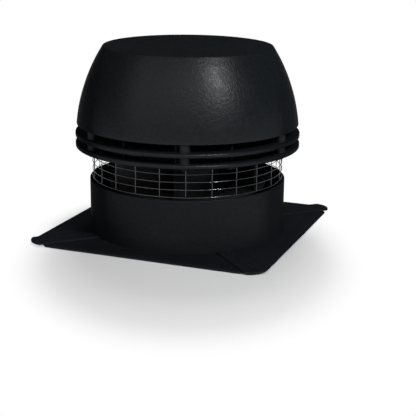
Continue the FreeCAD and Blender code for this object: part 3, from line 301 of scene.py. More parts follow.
# shader groups and finishes


class Graph:
    """A short way to write a node tree."""

    def __init__(self, tree: Tree) -> None:
        """Empty the tree and keep it."""
        tree.nodes.clear()
        self.tree = tree

    def add(self, kind: str, settings: dict | None = None, *first: object, **named: object) -> Node:
        """Add a node.

        Args:
            kind: the node's type name.
            settings: the node's own properties.
            first: values or sockets for its first inputs, in order.
            named: values or sockets by input name, with _ for a space.

        Returns:
            The node.
        """
        node = self.tree.nodes.new(kind)
        for name, value in (settings or {}).items():
            setattr(node, name, value)
        for socket, value in zip(node.inputs, first):
            self.feed(socket, value)
        for name, value in named.items():
            self.feed(node.inputs[name.replace("_", " ")], value)
        return node

    def feed(self, socket: Socket, value: object) -> None:
        """Link an input to a socket, or set its value.

        Args:
            socket: the input.
            value: the socket or value that it takes.
        """
        if isinstance(value, Socket):
            self.tree.links.new(value, socket)
        else:
            socket.default_value = value

    def math(self, operation: str, first: object, second: object = 0.0) -> Socket:
        """Add a Math node and return its output."""
        return self.add("ShaderNodeMath", {"operation": operation}, first, second).outputs[0]

    def ramp(self, value: object, low: float, high: float, start: float = 0.0, end: float = 1.0) -> Socket:
        """Map a value smoothly from one range to another."""
        smooth = {"interpolation_type": "SMOOTHSTEP"}
        return self.add("ShaderNodeMapRange", smooth, value, low, high, start, end).outputs[0]

    def noise(self, place: Socket, scale: object, detail: float, rough: float) -> Socket:
        """Add a noise texture and return its value."""
        sizes = {"Scale": scale, "Detail": detail, "Roughness": rough}
        return self.add("ShaderNodeTexNoise", Vector=place, **sizes).outputs[0]

    def own(self, name: str) -> Socket:
        """Return one of the texture coordinates."""
        return self.add("ShaderNodeTexCoord").outputs[name]

    def rise(self, vector: Socket) -> Socket:
        """Return a vector's share along Z."""
        return self.add("ShaderNodeSeparateXYZ", Vector=vector).outputs["Z"]

    def mix(self, share: Socket, first: object, second: object) -> Socket:
        """Mix two colours.

        Args:
            share: how much of the second shows, from 0 to 1.
            first: a colour or its socket.
            second: a colour or its socket.

        Returns:
            The mixed colour.
        """
        node = self.add("ShaderNodeMix", {"data_type": "RGBA"}, share)
        self.feed(node.inputs[6], first)
        self.feed(node.inputs[7], second)
        return node.outputs[2]

    def blend(self, share: Socket, first: Node, second: Node) -> Socket:
        """Blend the outputs of two shaders by a share of the second."""
        shaders = first.outputs[0], second.outputs[0]
        return self.add("ShaderNodeMixShader", None, share, *shaders).outputs[0]

    def background_rays(self) -> Socket:
        """Tell the rays that show a background from the others.

        Returns:
            1 for camera, glossy and transmission rays, and 0 for all others.
        """
        path = self.add("ShaderNodeLightPath").outputs
        mirrored = self.math("MAXIMUM", path["Is Glossy Ray"], path["Is Transmission Ray"])
        return self.math("MAXIMUM", path["Is Camera Ray"], mirrored)


class Group(Graph):
    """A shader group with float sockets."""

    def __init__(self, name: str, **inputs: float) -> None:
        """Start the group.

        Args:
            name: the group's name.
            inputs: default values by input name, with _ for a space.
        """
        super().__init__(bpy.data.node_groups.new(name, "ShaderNodeTree"))
        for label, value in inputs.items():
            self.socket(label.replace("_", " "), "INPUT").default_value = value
        self.inside = self.add("NodeGroupInput").outputs

    def socket(self, label: str, side: str) -> bpy.types.NodeTreeInterfaceSocket:
        """Add a float socket to one side of the group."""
        return self.tree.interface.new_socket(label, in_out=side, socket_type="NodeSocketFloat")

    def close(self, **outputs: Socket) -> Tree:
        """Give the group its outputs.

        Args:
            outputs: sockets by output name.

        Returns:
            The finished tree.
        """
        for label in outputs:
            self.socket(label, "OUTPUT")
        self.add("NodeGroupOutput", **outputs)
        return self.tree


def hammered_group() -> Tree:
    """Build the skin of a cast and painted surface: soft dimples and fine grain.

    Returns:
        A group that gives a height and a mask of its hollows, which the finishes darken as painted shade.
    """
    group = Group("hammered_skin", Dimple_Scale=260.0, Grain_Scale=900.0, Grain_Share=0.25)
    place = group.own("Object")
    dimples = group.noise(place, group.inside["Dimple Scale"], detail=2.0, rough=0.5)
    grain = group.noise(place, group.inside["Grain Scale"], detail=2.0, rough=0.6)
    height = group.math("ADD", dimples, group.math("MULTIPLY", grain, group.inside["Grain Share"]))
    return group.close(Height=height, Hollows=group.ramp(dimples, 0.35, 0.65, 1.0, 0.0))


def patina_group() -> Tree:
    """Build slow changes of tone: broad clouds, small mottle and a film on faces that look up.

    Returns:
        A group that gives a cloud mask, a mottle mask and a dust mask.
    """
    group = Group("patina", Cloud_Scale=9.0, Mottle_Scale=90.0, Dust=0.3)
    place = group.own("Object")
    clouds = group.noise(place, group.inside["Cloud Scale"], detail=4.0, rough=0.6)
    mottle = group.noise(place, group.inside["Mottle Scale"], detail=5.0, rough=0.65)
    upward = group.ramp(group.rise(group.own("Normal")), 0.55, 0.98)
    settled = group.math("MULTIPLY", upward, group.ramp(mottle, 0.3, 0.7, 0.5, 1.0))
    return group.close(Clouds=group.ramp(clouds, 0.3, 0.7), Mottle=group.ramp(mottle, 0.3, 0.7),
                       Dust=group.math("MULTIPLY", settled, group.inside["Dust"]))


def streak_group() -> Tree:
    """Build rolled or drawn metal: fine lines along one direction.

    Returns:
        A group that gives a height.
    """
    group = Group("rolled_lines", Across=900.0, Along=14.0)
    across = group.inside["Across"]
    stretch = group.add("ShaderNodeCombineXYZ", None, group.inside["Along"], across, across)
    scaled = group.add("ShaderNodeVectorMath", {"operation": "MULTIPLY"}, group.own("Object"),
                       stretch.outputs[0])
    return group.close(Height=group.noise(scaled.outputs[0], 1.0, detail=3.0, rough=0.6))


HAMMERED = hammered_group()
PATINA = patina_group()
STREAKS = streak_group()


@dataclass(frozen=True)
class Finish:
    """A finish with a colour, a gloss and a skin.

    Attributes:
        name: name of the material.
        colour: linear base colour.
        roughness: middle roughness.
        metallic: 0 for paint and plastic, 1 for bare metal.
        specular: specular level of the shader.
        matting: share of the specular level that is lost at a slanting view.
        tone: how much random clouds change the colour, and how much the skin's hollows are painted darker
            and its raised parts lighter, as painted shade of the dimples.
        dimple: depth of the skin's dimples, in metres.
        dimple_scale: dimples per metre.
        lines: depth of rolled lines, in metres; 0 leaves them out.
        dust: how much dust settles on faces that look up.
        coat: weight of a clear coat.
        upright_painted_light: painted light, how much lighter the upright faces are painted than the level
            ones, so that walls and edges read lit and tops read shaded.
    """

    name: str
    colour: Point
    roughness: float
    metallic: float = 0.0
    specular: float = 0.5
    matting: float = 0.0
    tone: float = 0.15
    dimple: float = 0.00003
    dimple_scale: float = 400.0
    lines: float = 0.0
    dust: float = 0.15
    coat: float = 0.0
    upright_painted_light: float = 0.0

    def shade(self, share: float) -> tuple[float, float, float, float]:
        """Return the colour made lighter or darker by a share."""
        return tuple(channel * (1 + share) for channel in self.colour) + (1.0,)

    def material(self) -> bpy.types.Material:
        """Build the material.

        Returns:
            A material whose colour, roughness and normal vary over the surface.
        """
        material = bpy.data.materials.new(self.name)
        material.use_nodes = True
        graph = Graph(material.node_tree)
        patina = graph.add("ShaderNodeGroup", {"node_tree": PATINA}, Dust=self.dust).outputs
        skin = graph.add("ShaderNodeGroup", {"node_tree": HAMMERED}, Dimple_Scale=self.dimple_scale).outputs
        # Painted shade: half the tone darkens the skin's hollows and lightens its raised parts, so the
        # dimples read as shaded; the other half is random clouds.
        raised = graph.math("SUBTRACT", 1.0, skin["Hollows"])
        lighter = graph.math("MULTIPLY", graph.math("ADD", patina["Clouds"], raised), 0.5)
        tones = graph.mix(lighter, self.shade(-self.tone), self.shade(self.tone))
        colour = graph.mix(patina["Dust"], tones, DUST)
        # Painted light: upright faces are painted lighter than level ones, so lids and tops read as shaded.
        if self.upright_painted_light:
            level = graph.math("ABSOLUTE", graph.rise(graph.own("Normal")))
            gain = graph.ramp(level, *LEVELS, 1.0 + self.upright_painted_light, 1.0)
            brighter = graph.add("ShaderNodeVectorMath", {"operation": "SCALE"}, colour, Scale=gain)
            colour = brighter.outputs[0]
        gloss: object = self.specular
        if self.matting:
            slant = graph.add("ShaderNodeLayerWeight", Blend=0.5).outputs["Facing"]
            gloss = graph.ramp(slant, *SLANTS, self.specular, self.specular * (1 - self.matting))
        bump = graph.add("ShaderNodeBump", Distance=self.dimple, Height=skin["Height"]).outputs[0]
        if self.lines:
            drawn = graph.add("ShaderNodeGroup", {"node_tree": STREAKS}).outputs["Height"]
            bump = graph.add("ShaderNodeBump", Distance=self.lines, Height=drawn, Normal=bump).outputs[0]
        limits = (self.roughness * (1 + way * ROUGHNESS_SPREAD) for way in (-1, 1))
        rough = graph.ramp(patina["Mottle"], 0.0, 1.0, *limits)
        shader = graph.add("ShaderNodeBsdfPrincipled", Base_Color=colour, Roughness=rough, Normal=bump,
                           Metallic=self.metallic, Specular_IOR_Level=gloss, Coat_Weight=self.coat)
        graph.add("ShaderNodeOutputMaterial", Surface=shader.outputs[0])
        return material


# The casting and collar paints and the sheet paint carry painted light on their upright faces.
CASTING_PAINT = Finish("casting_paint", (0.0082, 0.0094, 0.0107), 0.36, specular=0.163, matting=0.996,
                       tone=0.16, dimple=0.00042, dimple_scale=200.0, dust=0.004, upright_painted_light=0.28)
NETTING_STEEL = Finish("netting_steel", (0.088, 0.094, 0.104), 0.18, metallic=1.0, tone=0.1,
                       dimple=0.00001, dimple_scale=700.0, dust=0.0)
DARK_SHEET = Finish("dark_sheet", (0.013, 0.013, 0.0134), 0.6, specular=0.2, dust=0.05)
FINISHES = (
    CASTING_PAINT,
    replace(CASTING_PAINT, name="collar_paint", roughness=0.4, specular=0.085, dimple=0.00055),
    Finish("sheet_paint", (0.0081, 0.0094, 0.0116), 0.42, specular=0.08, matting=1.0, tone=0.12,
           dimple_scale=300.0, dust=0.01, upright_painted_light=0.9),
    NETTING_STEEL,
    # Painted sheen: the hoops are the netting's steel in a lighter colour, for light they would mirror.
    replace(NETTING_STEEL, name="hoop_steel_painted_sheen", colour=(0.135, 0.144, 0.158), roughness=0.2),
    Finish("fastener_steel", (0.45, 0.45, 0.45), 0.34, metallic=1.0, tone=0.12, dimple=0.00001,
           dimple_scale=900.0, dust=0.05),
    Finish("stainless_sheet", (0.4, 0.395, 0.385), 0.38, metallic=1.0, tone=0.1, dimple=0.00002,
           dimple_scale=60.0, lines=0.00001, dust=0.08),
    DARK_SHEET,
    # Painted shade: the posts are the dark sheet made near black, for the shade behind the netting.
    replace(DARK_SHEET, name="painted_shade_sheet", colour=(0.005, 0.005, 0.0053), roughness=0.7,
            specular=0.1, dust=0.01),
    Finish("motor_aluminium", (0.5, 0.51, 0.52), 0.45, metallic=1.0, tone=0.1, dimple=0.00006,
           dimple_scale=500.0),
    Finish("core_steel", (0.16, 0.16, 0.165), 0.45, metallic=1.0, dimple=0.00002,
           dimple_scale=500.0, lines=0.00002, dust=0.05),
    Finish("copper_wire", (0.55, 0.21, 0.09), 0.35, metallic=1.0, tone=0.2, dimple=0.0003,
           dimple_scale=420.0, dust=0.0, coat=0.4),
    Finish("damper_rubber", (0.012, 0.012, 0.012), 0.75, specular=0.35, dimple_scale=800.0, dust=0.1),
    Finish("box_plastic", (0.02, 0.02, 0.022), 0.5, tone=0.1, dimple_scale=1200.0),
    Finish("case_plastic", (0.62, 0.62, 0.6), 0.42, tone=0.06, dimple=0.00001, dimple_scale=900.0, dust=0.1),
)
MATERIALS = {finish.name: finish.material() for finish in FINISHES}


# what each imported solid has, and the pieces that stand for solids


RECORD = frame["record"]
BODIES = {node: body for body, nodes in RECORD["behaviour"]["bodies"].items() for node in nodes}
# The bolts of the stack are painted over with the castings.
SLOTS = {entry["node"]: entry["material_slot"] for entry in RECORD["subparts"]}
SLOTS["stack_bolts"] = "casting_paint"
# A few have a finish that departs a little from that of their slot: the hoops take a lighter copy of the
# netting's steel as painted sheen, and the posts a near-black copy of the dark sheet as painted shade.
COATS = SLOTS | {"collar": "collar_paint", "guard_hoops": "hoop_steel_painted_sheen", "right_post": "painted_shade_sheet",
                 "left_post": "painted_shade_sheet", "front_post": "painted_shade_sheet"}


def dress_solids() -> None:
    """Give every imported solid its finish."""
    for name, node in frame["nodes"].items():
        node.data.materials.clear()
        node.data.materials.append(MATERIALS[COATS[name]])


def put(thing: bpy.types.Object) -> bpy.types.Object:
    """Put a new object into the scene and return it."""
    bpy.context.scene.collection.objects.link(thing)
    return thing


def install(node: str, word: str, mesh: bpy.types.Mesh) -> None:
    """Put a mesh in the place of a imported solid, on its body and in its finish.

    Args:
        node: the solid.
        word: ending of the piece's name.
        mesh: the piece's mesh, in metres in the shared frame.
    """
    mesh.materials.append(MATERIALS[COATS[node]])
    piece = put(bpy.data.objects.new(f"{node}_{word}", mesh))
    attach(piece, BODIES[node])
    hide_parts(node)
    LOG.info("%s: %d faces on %s", piece.name, len(mesh.polygons), BODIES[node])


def tidy_mesh(mesh: bpy.types.Mesh, sharp: float, edge: float = 0.0) -> None:
    """Merge a mesh's doubles, round its creases if asked, and mark its sharp edges.

    Args:
        mesh: the mesh. Without a rounding its faces are also turned outwards.
        sharp: edges that turn by more degrees than this stay sharp.
        edge: width of the rounding, in millimetres.
    """
    flat, crease = math.radians(0.5), math.radians(40)
    work = bmesh.new()
    work.from_mesh(mesh)
    bmesh.ops.remove_doubles(work, verts=work.verts, dist=MERGE_DISTANCE)
    if edge:
        bmesh.ops.dissolve_limit(work, angle_limit=flat, verts=work.verts, edges=work.edges)
        inner = [line for line in work.edges if len(line.link_faces) == 2]
        creases = [line for line in inner if line.calc_face_angle(0) > crease]
        bmesh.ops.bevel(work, geom=creases, offset=edge * MM, segments=2, profile=0.5, affect="EDGES",
                        clamp_overlap=True)
    else:
        bmesh.ops.recalc_face_normals(work, faces=work.faces)
    work.to_mesh(mesh)
    work.free()
    mesh.shade_smooth()
    mesh.set_sharp_from_angle(angle=math.radians(sharp))


def make_piece(node: str, word: str, grids: list[Grid], sharp: float = 38.0) -> None:
    """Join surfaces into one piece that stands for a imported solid.

    Args:
        node: the solid.
        word: ending of the piece's name.
        grids: its surfaces.
        sharp: edges that turn by more degrees than this stay sharp.
    """
    faces: list[list[int]] = []
    offset = 0
    for grid in grids:
        faces += grid.faces(offset)
        offset += grid.points[..., 0].size
    mesh = bpy.data.meshes.new(node)
    mesh.from_pydata(np.concatenate([grid.points.reshape(-1, 3) for grid in grids]) * MM, [], faces)
    tidy_mesh(mesh, sharp)
    install(node, word, mesh)


def soften(edge: float, *nodes: str) -> None:
    """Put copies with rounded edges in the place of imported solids.

    Args:
        edge: width of the rounding, in millimetres.
        nodes: names of the solids.
    """
    for node in nodes:
        mesh = frame["nodes"][node].data.copy()
        mesh.materials.clear()
        tidy_mesh(mesh, sharp=50.0, edge=edge)
        install(node, "edged", mesh)


# sub-assemblies


@dataclass(frozen=True)
class BoltCircle:
    """Seats for fasteners at one height, evenly about the fan's axis from a first angle."""

    count: int
    radius: float
    first: float
    height: float
    up: bool = True

    def seats(self) -> list[Seat]:
        """Work out the seats.

        Returns:
            Place, direction and turn of each, with every head turned a little differently.
        """
        turns = [self.first + 360.0 * number / self.count for number in range(self.count)]
        return [(polar(self.radius, turn, self.height), UP if self.up else DOWN, 17.0 * number + 7.0)
                for number, turn in enumerate(turns)]


@dataclass(frozen=True)
class Fastener:
    """One bolt, screw or rivet, with its head above z = 0 and its shank below.

    Attributes:
        radius: radius of the shank.
        length: length of the shank.
        head: kind of head.
        head_radius: radius of the head, to its corners on a hexagon.
        head_height: height of the head with its washer.
        washer: thickness of the washer; 0 leaves it out.
    """

    radius: float
    length: float
    head: Head
    head_radius: float
    head_height: float
    washer: float = 0.0

    def grids(self) -> list[Grid]:
        """Draw the fastener at the origin.

        Returns:
            Its shank, which ends inside the head, its head and its washer.
        """
        inside, tip = 0.2, self.radius * 0.15
        shank = barrel((0.0, self.radius), (-self.length, inside), [0.0, tip, 0.0, 0.0], 3, 20)
        grids = [shank, self.head_grid()]
        if self.washer:
            reach = self.radius * 0.9, self.head_radius * 1.08
            grids.append(barrel(reach, (0.0, self.washer), self.washer * 0.25, 2, 28))
        return grids

    def head_grid(self) -> Grid:
        """Draw the head.

        A hexagon's radius is apothem / cos(a - middle of the side), or where
        that is less, the radius of a cone that is 0.97 apothem wide at the top
        and widens by drop / 0.55 below it.

        Returns:
            The head's surface.
        """
        low, high = self.washer, self.head_height
        if self.head is Head.PAN:
            radii = [0.0, 0.15, (high - low) * 0.6, 0.0]
            return barrel((0.0, self.head_radius), (low, high), radii, 6, 32)
        if self.head is Head.DOMED:
            arc = heading(np.linspace(0, np.pi / 2, 8)) * (self.head_radius, high - low) + (0.0, low)
            return turned(np.vstack([[0.0, low], arc]), 24)
        angle = circle_angles(48)
        flat = self.head_radius * math.cos(math.pi / 6)
        hexagon = flat / np.cos((angle % (np.pi / 3)) - np.pi / 6)
        depth = (self.head_radius - flat) * 0.62
        drop = np.array([high - low, high - low - 0.1, depth, depth * 0.66, depth * 0.33, 0.0, 0.0])
        radius = np.minimum(hexagon, (flat * 0.97 + drop / 0.55)[:, None])
        radius[0] *= 0.97
        radius[-1] *= 0.82
        return Grid(wheel(radius, angle, (high - drop)[:, None]), caps=True)

    def build(self, node: str, seats: list[Seat]) -> None:
        """Build a fastener on each seat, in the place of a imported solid."""
        make_piece(node, self.head.value, [moved(grid, *seat) for seat in seats for grid in self.grids()])


def rivet(length: float) -> Fastener:
    """Return a domed rivet 3.2 mm thick."""
    return Fastener(1.6, length, Head.DOMED, 2.6, 1.0)


def bolt(length: float) -> Fastener:
    """Return a hexagon bolt 6 mm thick, with its washer."""
    return Fastener(3.0, length, Head.HEXAGON, 5.4, 3.6, 0.8)


Rings = tuple[tuple[str | Fastener | BoltCircle, ...], ...]


@dataclass
class SubAssembly:
    """A part of the fan that has rounded solids, and fasteners about the axis.

    Attributes:
        edges: widths of rounding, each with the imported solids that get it.
        rings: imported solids, each with its fastener and the circles where it sits.
    """

    edges: Edges = ()
    rings: Rings = ()

    def build(self) -> None:
        """Round the solids and build the fasteners."""
        for edge, nodes in self.edges:
            soften(edge, *nodes)
        for node, fastener, *circles in self.rings:
            fastener.build(node, [seat for circle in circles for seat in circle.seats()])


@dataclass
class FlashingBase(SubAssembly):
    """The square base of four side plates, with riveted straps over their seams."""

    edges: Edges = ((0.5, ("front_plate", "right_plate", "back_plate", "left_plate", "front_right_strap",
                           "back_right_strap", "back_left_strap", "front_left_strap")),)
    rings: Rings = (("strap_rivets", rivet(5.2),
                     *(BoltCircle(4, radius, 45.0, 5.5) for radius in (171.5, 185.0, 243.585))),)


@dataclass
class BirdGuard(SubAssembly):
    """Netting of level hoops with upright wires welded inside them."""

    edges: Edges = ((0.3, ("guard_clips",)),)
    rings: Rings = (("clip_screws", Fastener(2.0, 10.2, Head.PAN, 3.6, 2.4),
                     BoltCircle(6, 171.0, 15.0, 142.8, up=False)),)
    radius: float = 162.0
    first: float = 95.0
    pitch: float = 12.5
    hoops: int = 5
    uprights: int = 24
    angle: float = 6.0
    wire: float = 0.6
    top: float = 147.2
    wave: float = 0.22
    sway: float = 0.25
    weld: Point = (1.25, 1.0, 0.95)

    def hoop(self, number: int) -> Grid:
        """Draw one hoop: a torus whose radius and height wave slightly.

        The radius has 5 and 11 waves round the circle, and the height 7 and 12.

        Args:
            number: 0 for the lowest hoop.

        Returns:
            The closed surface.
        """
        angle, section = circle_angles(288)[:, None], circle_angles(10)
        shift = 1.7 * number
        outwards = np.sin(5 * angle + shift) + np.sin(11 * angle + 2 * shift)
        upwards = np.sin(7 * angle + 3 * shift) + np.sin(12 * angle - shift)
        radius = self.radius + self.wave * outwards / 2
        height = self.first + self.pitch * number + self.wave * upwards / 2
        return Grid(wheel(radius + self.wire * np.cos(section), angle, height + self.wire * np.sin(section)),
                    wrap_rows=True)

    def upright(self, number: int) -> list[Grid]:
        """Draw one upright wire with a weld bead at each hoop.

        Args:
            number: 0 for the first wire.

        Returns:
            The wire and its beads.
        """
        inside, welded = self.radius - 1.75 * self.wire, self.radius - 0.9 * self.wire
        turn = self.angle + 360.0 * number / self.uprights
        ends = polar(inside, turn, self.first - self.wire), polar(inside, turn, self.top)
        places = [polar(welded, turn, self.first + self.pitch * level) for level in range(self.hoops)]
        return [rod(*ends, self.wire, 14, self.sway, 1.3 * number),
                *(bead(place, self.weld, turn) for place in places)]

    def build(self) -> None:
        """Build the clips with their screws, the hoops and the upright wires."""
        super().build()
        make_piece("guard_hoops", "round", [self.hoop(number) for number in range(self.hoops)])
        make_piece("guard_uprights", "welded",
                   [grid for number in range(self.uprights) for grid in self.upright(number)])


@dataclass
class CollarFittings(SubAssembly):
    """What is fastened inside the collar: the inlet cone, its rivets and the foot's screws."""

    rings: Rings = (("inlet_cone_rivets", rivet(7.0), BoltCircle(6, 133.0, 30.0, 10.5)),
                    ("collar_screws", bolt(8.5), BoltCircle(8, 153.0, 22.5, 9.0)))
    foot_top: float = 9.0
    sheet: float = 1.5
    throat: float = 125.0
    flange: float = 141.0
    lip: float = 88.0
    lip_low: float = 67.0
    lip_top: float = 77.0

    def cone_grid(self) -> Grid:
        """Draw the cone: a flat flange, a bell-shaped wall and a rolled lip.

        The bell is the arc that is level at the lip's side: with the lip's
        radius r and its foot h, a point at height z has radius
        r + bend - sqrt(bend^2 - (h - z)^2).

        Returns:
            The closed surface.
        """
        across, rise = self.throat - self.lip, self.lip_low - self.foot_top
        bend = (across ** 2 + rise ** 2) / (2 * across)
        drop = np.linspace(rise, 0.0, 40)
        half = self.sheet / 2
        inside = np.column_stack([self.lip + bend - np.sqrt(bend ** 2 - drop ** 2), self.lip_low - drop])
        edge = heading(np.linspace(0, np.pi, 12)) * (-half, half) + (self.lip + half, self.lip_top - half)
        start, low, high = self.throat + self.sheet, self.foot_top, self.foot_top + self.sheet
        outside = inside[::-1] + (self.sheet, 0.0)
        outside = outside[outside[:, 1] > high]
        corners = [(start, high), (self.flange, high), (self.flange, low), (start, low)]
        ring = rounded(corners, [0.0, 0.5, 0.5, 0.0], 4)[4:12]
        return turned(np.vstack([inside, edge, outside, ring])[::-1], 160)

    def build(self) -> None:
        """Build the domed rivets, the hexagon screws with washers, and the cone."""
        super().build()
        make_piece("inlet_cone", "spun", [self.cone_grid()])


@dataclass
class Hinge(SubAssembly):
    """The hinge at the back, with its bolts and its pin."""

    edges: Edges = ((0.6, ("hinge_bracket", "hinge_arm")),)
    pivot: Pair = (184.0, 100.0)
    pin_radius: float = 4.0
    pin_reach: float = 19.5
    pin_head: Pair = (6.0, 3.0)
    chamfers: Pair = (0.6, 0.7)
    bolt: Fastener = bolt(10.0)
    bracket_face: float = 174.5
    bracket_across: float = 26.64
    bracket_heights: Pair = (57.5, 76.5)
    arm_bolt: Point = (17.16, 175.0, 143.5)

    def pin_grid(self) -> Grid:
        """Draw the pin along X: a rod with a chamfered head at each end.

        Returns:
            The closed surface.
        """
        head, thick = self.pin_head
        inner, outer = self.chamfers
        reach, end = self.pin_reach, self.pin_reach + thick
        half = [(self.pin_radius, 0.0), (self.pin_radius, reach), (head - outer, reach),
                (head, reach + inner), (head, end - outer), (head - outer, end), (0.0, end)]
        outline = [(radius, -height) for radius, height in half[::-1]] + half
        return moved(turned(np.array(outline), 48), (0.0, *self.pivot), (1, 0, 0))

    def build(self) -> None:
        """Round the castings and build the bolts and the pin."""
        super().build()
        make_piece("hinge_pin", "turned", [self.pin_grid()])
        places = [(side * self.bracket_across, self.bracket_face, height)
                  for side in (-1, 1) for height in self.bracket_heights]
        self.bolt.build("hinge_bracket_bolts",
                        [(place, (0, 1, 0), 23.0 * number) for number, place in enumerate(places)])
        across, along, height = self.arm_bolt
        self.bolt.build("hinge_arm_bolts",
                        [((side * across, along, height), DOWN, 11.0 + 20.0 * side) for side in (-1, 1)])


@dataclass
class LouvreStack(SubAssembly):
    """Two cast rings with ribs, the pillars between them, and the bolts that hold the stack."""

    edges: Edges = ((0.35, ("lower_ring", "upper_ring")),)
    rings: Rings = (("stack_bolts", Fastener(4.0, 48.0, Head.HEXAGON, 7.2, 4.8, 1.0),
                     BoltCircle(6, 175.0, 50.4, 147.5, up=False)),)
    pillars: int = 6
    place: Pair = (175.0, 50.4)
    radius: float = 10.0
    flare: Pair = (0.6, 0.9)
    gaps: tuple[tuple[str, float, float], ...] = (("lower", 154.5, 165.0), ("upper", 172.0, 185.5))

    def pillar_grid(self, low: float, high: float) -> Grid:
        """Draw one pillar: a cylinder that flares at both ends.

        A level t of the flare is wide (1 - sin t) wider than the pillar and
        lies tall (1 - cos t) from its end.

        Args:
            low: height of its foot.
            high: height of its top.

        Returns:
            The closed surface.
        """
        wide, tall = self.flare
        turn = np.linspace(0, np.pi / 2, 5)
        out = self.radius + wide * (1 - np.sin(turn))
        rise = tall * (1 - np.cos(turn))
        foot, top = np.column_stack([out, low + rise]), np.column_stack([out, high - rise])[::-1]
        return turned(np.vstack([[0.0, low], foot, top, [0.0, high]]), 40)

    def build(self) -> None:
        """Round the rings' ribs, and build the bolts and the pillars."""
        super().build()
        for name, low, high in self.gaps:
            pillar = moved(self.pillar_grid(low, high), polar(*self.place))
            make_piece(f"{name}_pillars", "cast", around(pillar, self.pillars))


@dataclass
class Dome:
    """The cast cover, with a slightly uneven wall."""

    rim: float = 185.5
    rim_radius: float = 188.0
    top: float = 315.0
    lid: float = 142.3
    curve: float = 294.0
    wall: float = 5.0
    flange: float = 164.0
    ledge: float = 6.0
    crease: float = 2.5
    unevenness: float = 0.12
    waves: tuple[Point, ...] = ((5, 23.0, 0.0), (9, -17.0, 1.0), (14, 11.0, 2.0))
    still: float = 20.0
    sharp: float = 30.0

    def wall_arc(self, start: Pair, end: Pair, radius: float) -> Array:
        """Return the wall's arc between two points (radius, height)."""
        centre, turn = arc_between(np.array(start), np.array(end), radius, 72)
        return centre + radius * heading(turn)

    def outline(self) -> Array:
        """Work out the section: rim, wall, rounded crease, lid, and the same inside.

        Returns:
            Points (radius, height).
        """
        under = self.rim + self.ledge
        outer = self.wall_arc((self.rim_radius, self.rim), (self.lid, self.top), self.curve)
        inner = self.wall_arc((self.rim_radius - self.wall * 1.1, under),
                              (self.lid - self.wall * 0.6, self.top - self.wall), self.curve - self.wall)
        corner = outer[-1]
        back = outer[-4] - corner
        back /= np.linalg.norm(back)
        cut = self.crease / math.tan(math.acos(-back[0]) / 2)
        keep = outer[np.linalg.norm(outer - corner, axis=1) > cut]
        fillet = rounded([tuple(corner + back * 40), tuple(corner), (0.0, self.top)],
                         [0.0, self.crease, 0.0], 9)[9:18]
        foot = rounded([(self.flange, self.rim), (self.rim_radius, self.rim), tuple(outer[3])],
                       [0.6, 0.9, 0.0], 5)
        lid = np.linspace((self.lid * 0.94, self.top), (0.0, self.top), 14)
        ceiling = np.linspace((0.0, inner[-1, 1]), inner[-1], 8)
        return np.vstack([foot[5:10], keep[4:], fillet, lid, ceiling, inner[::-1], [[self.flange, under]],
                          foot[:5]])

    def build(self) -> None:
        """Turn the section, and shift each point by a sum of slow waves along its radius."""
        grid = turned(self.outline(), 288)
        points = grid.points.copy()
        angle = np.arctan2(points[..., 1], points[..., 0])
        height = points[..., 2]
        shift = sum(np.sin(count * angle + height / length + phase) for count, length, phase in self.waves)
        low, high = self.rim + 3.0, self.top
        share = np.clip((height - low) / self.still, 0, 1) * np.clip((high - height) / self.still, 0, 1)
        size = 1 + self.unevenness / self.rim_radius * shift / len(self.waves) * share
        points[..., :2] *= size[..., None]
        make_piece("dome", "cast", [replace(grid, points=points)], self.sharp)


@dataclass
class MotorRoom(SubAssembly):
    """What hangs below and stands on the motor plate."""

    edges: Edges = (
        (0.5, ("right_post", "left_post", "front_post")),
        (0.25, ("heat_shield", "motor_plate")),
        (0.6, ("lower_end_cap", "motor_housing", "upper_end_cap", "terminal_box", "terminal_box_lid")),
    )
    rings: Rings = (("post_screws", bolt(8.5), BoltCircle(3, 135.0, 47.0, 157.5)),
                    ("motor_plate_screws", Fastener(2.5, 8.0, Head.PAN, 4.5, 3.0),
                     BoltCircle(6, 158.5, 20.4, 157.5)))
    stator: Pair = (194.5, 249.5)
    coil_radius: float = 47.75
    coil_width: float = 7.0
    coil_rise: float = 4.0
    swell: Pair = (0.82, 0.18)

    def coil_grid(self, low: float, rise: float) -> Grid:
        """Draw one coil end: a torus that swells over 24 coils.

        Both halves of its section are scaled by swell = 0.82 + 0.18 |sin 12 a|,
        so that it looks like coils laid side by side.

        Args:
            low: height of the stator's face.
            rise: how far the torus' middle lies from it.

        Returns:
            The closed surface.
        """
        angle, section = circle_angles(288)[:, None], circle_angles(20)
        swell = self.swell[0] + self.swell[1] * np.abs(np.sin(12 * angle))
        out = self.coil_radius + self.coil_width * swell * np.cos(section)
        height = low + rise + self.coil_rise * swell * np.sin(section)
        return Grid(wheel(out, angle, height), wrap_rows=True)

    def build(self) -> None:
        """Round the sheets' edges and build the screws and the coil ends."""
        super().build()
        low, high = self.stator
        make_piece("windings", "wound",
                   [self.coil_grid(low, -self.coil_rise), self.coil_grid(high, self.coil_rise)])


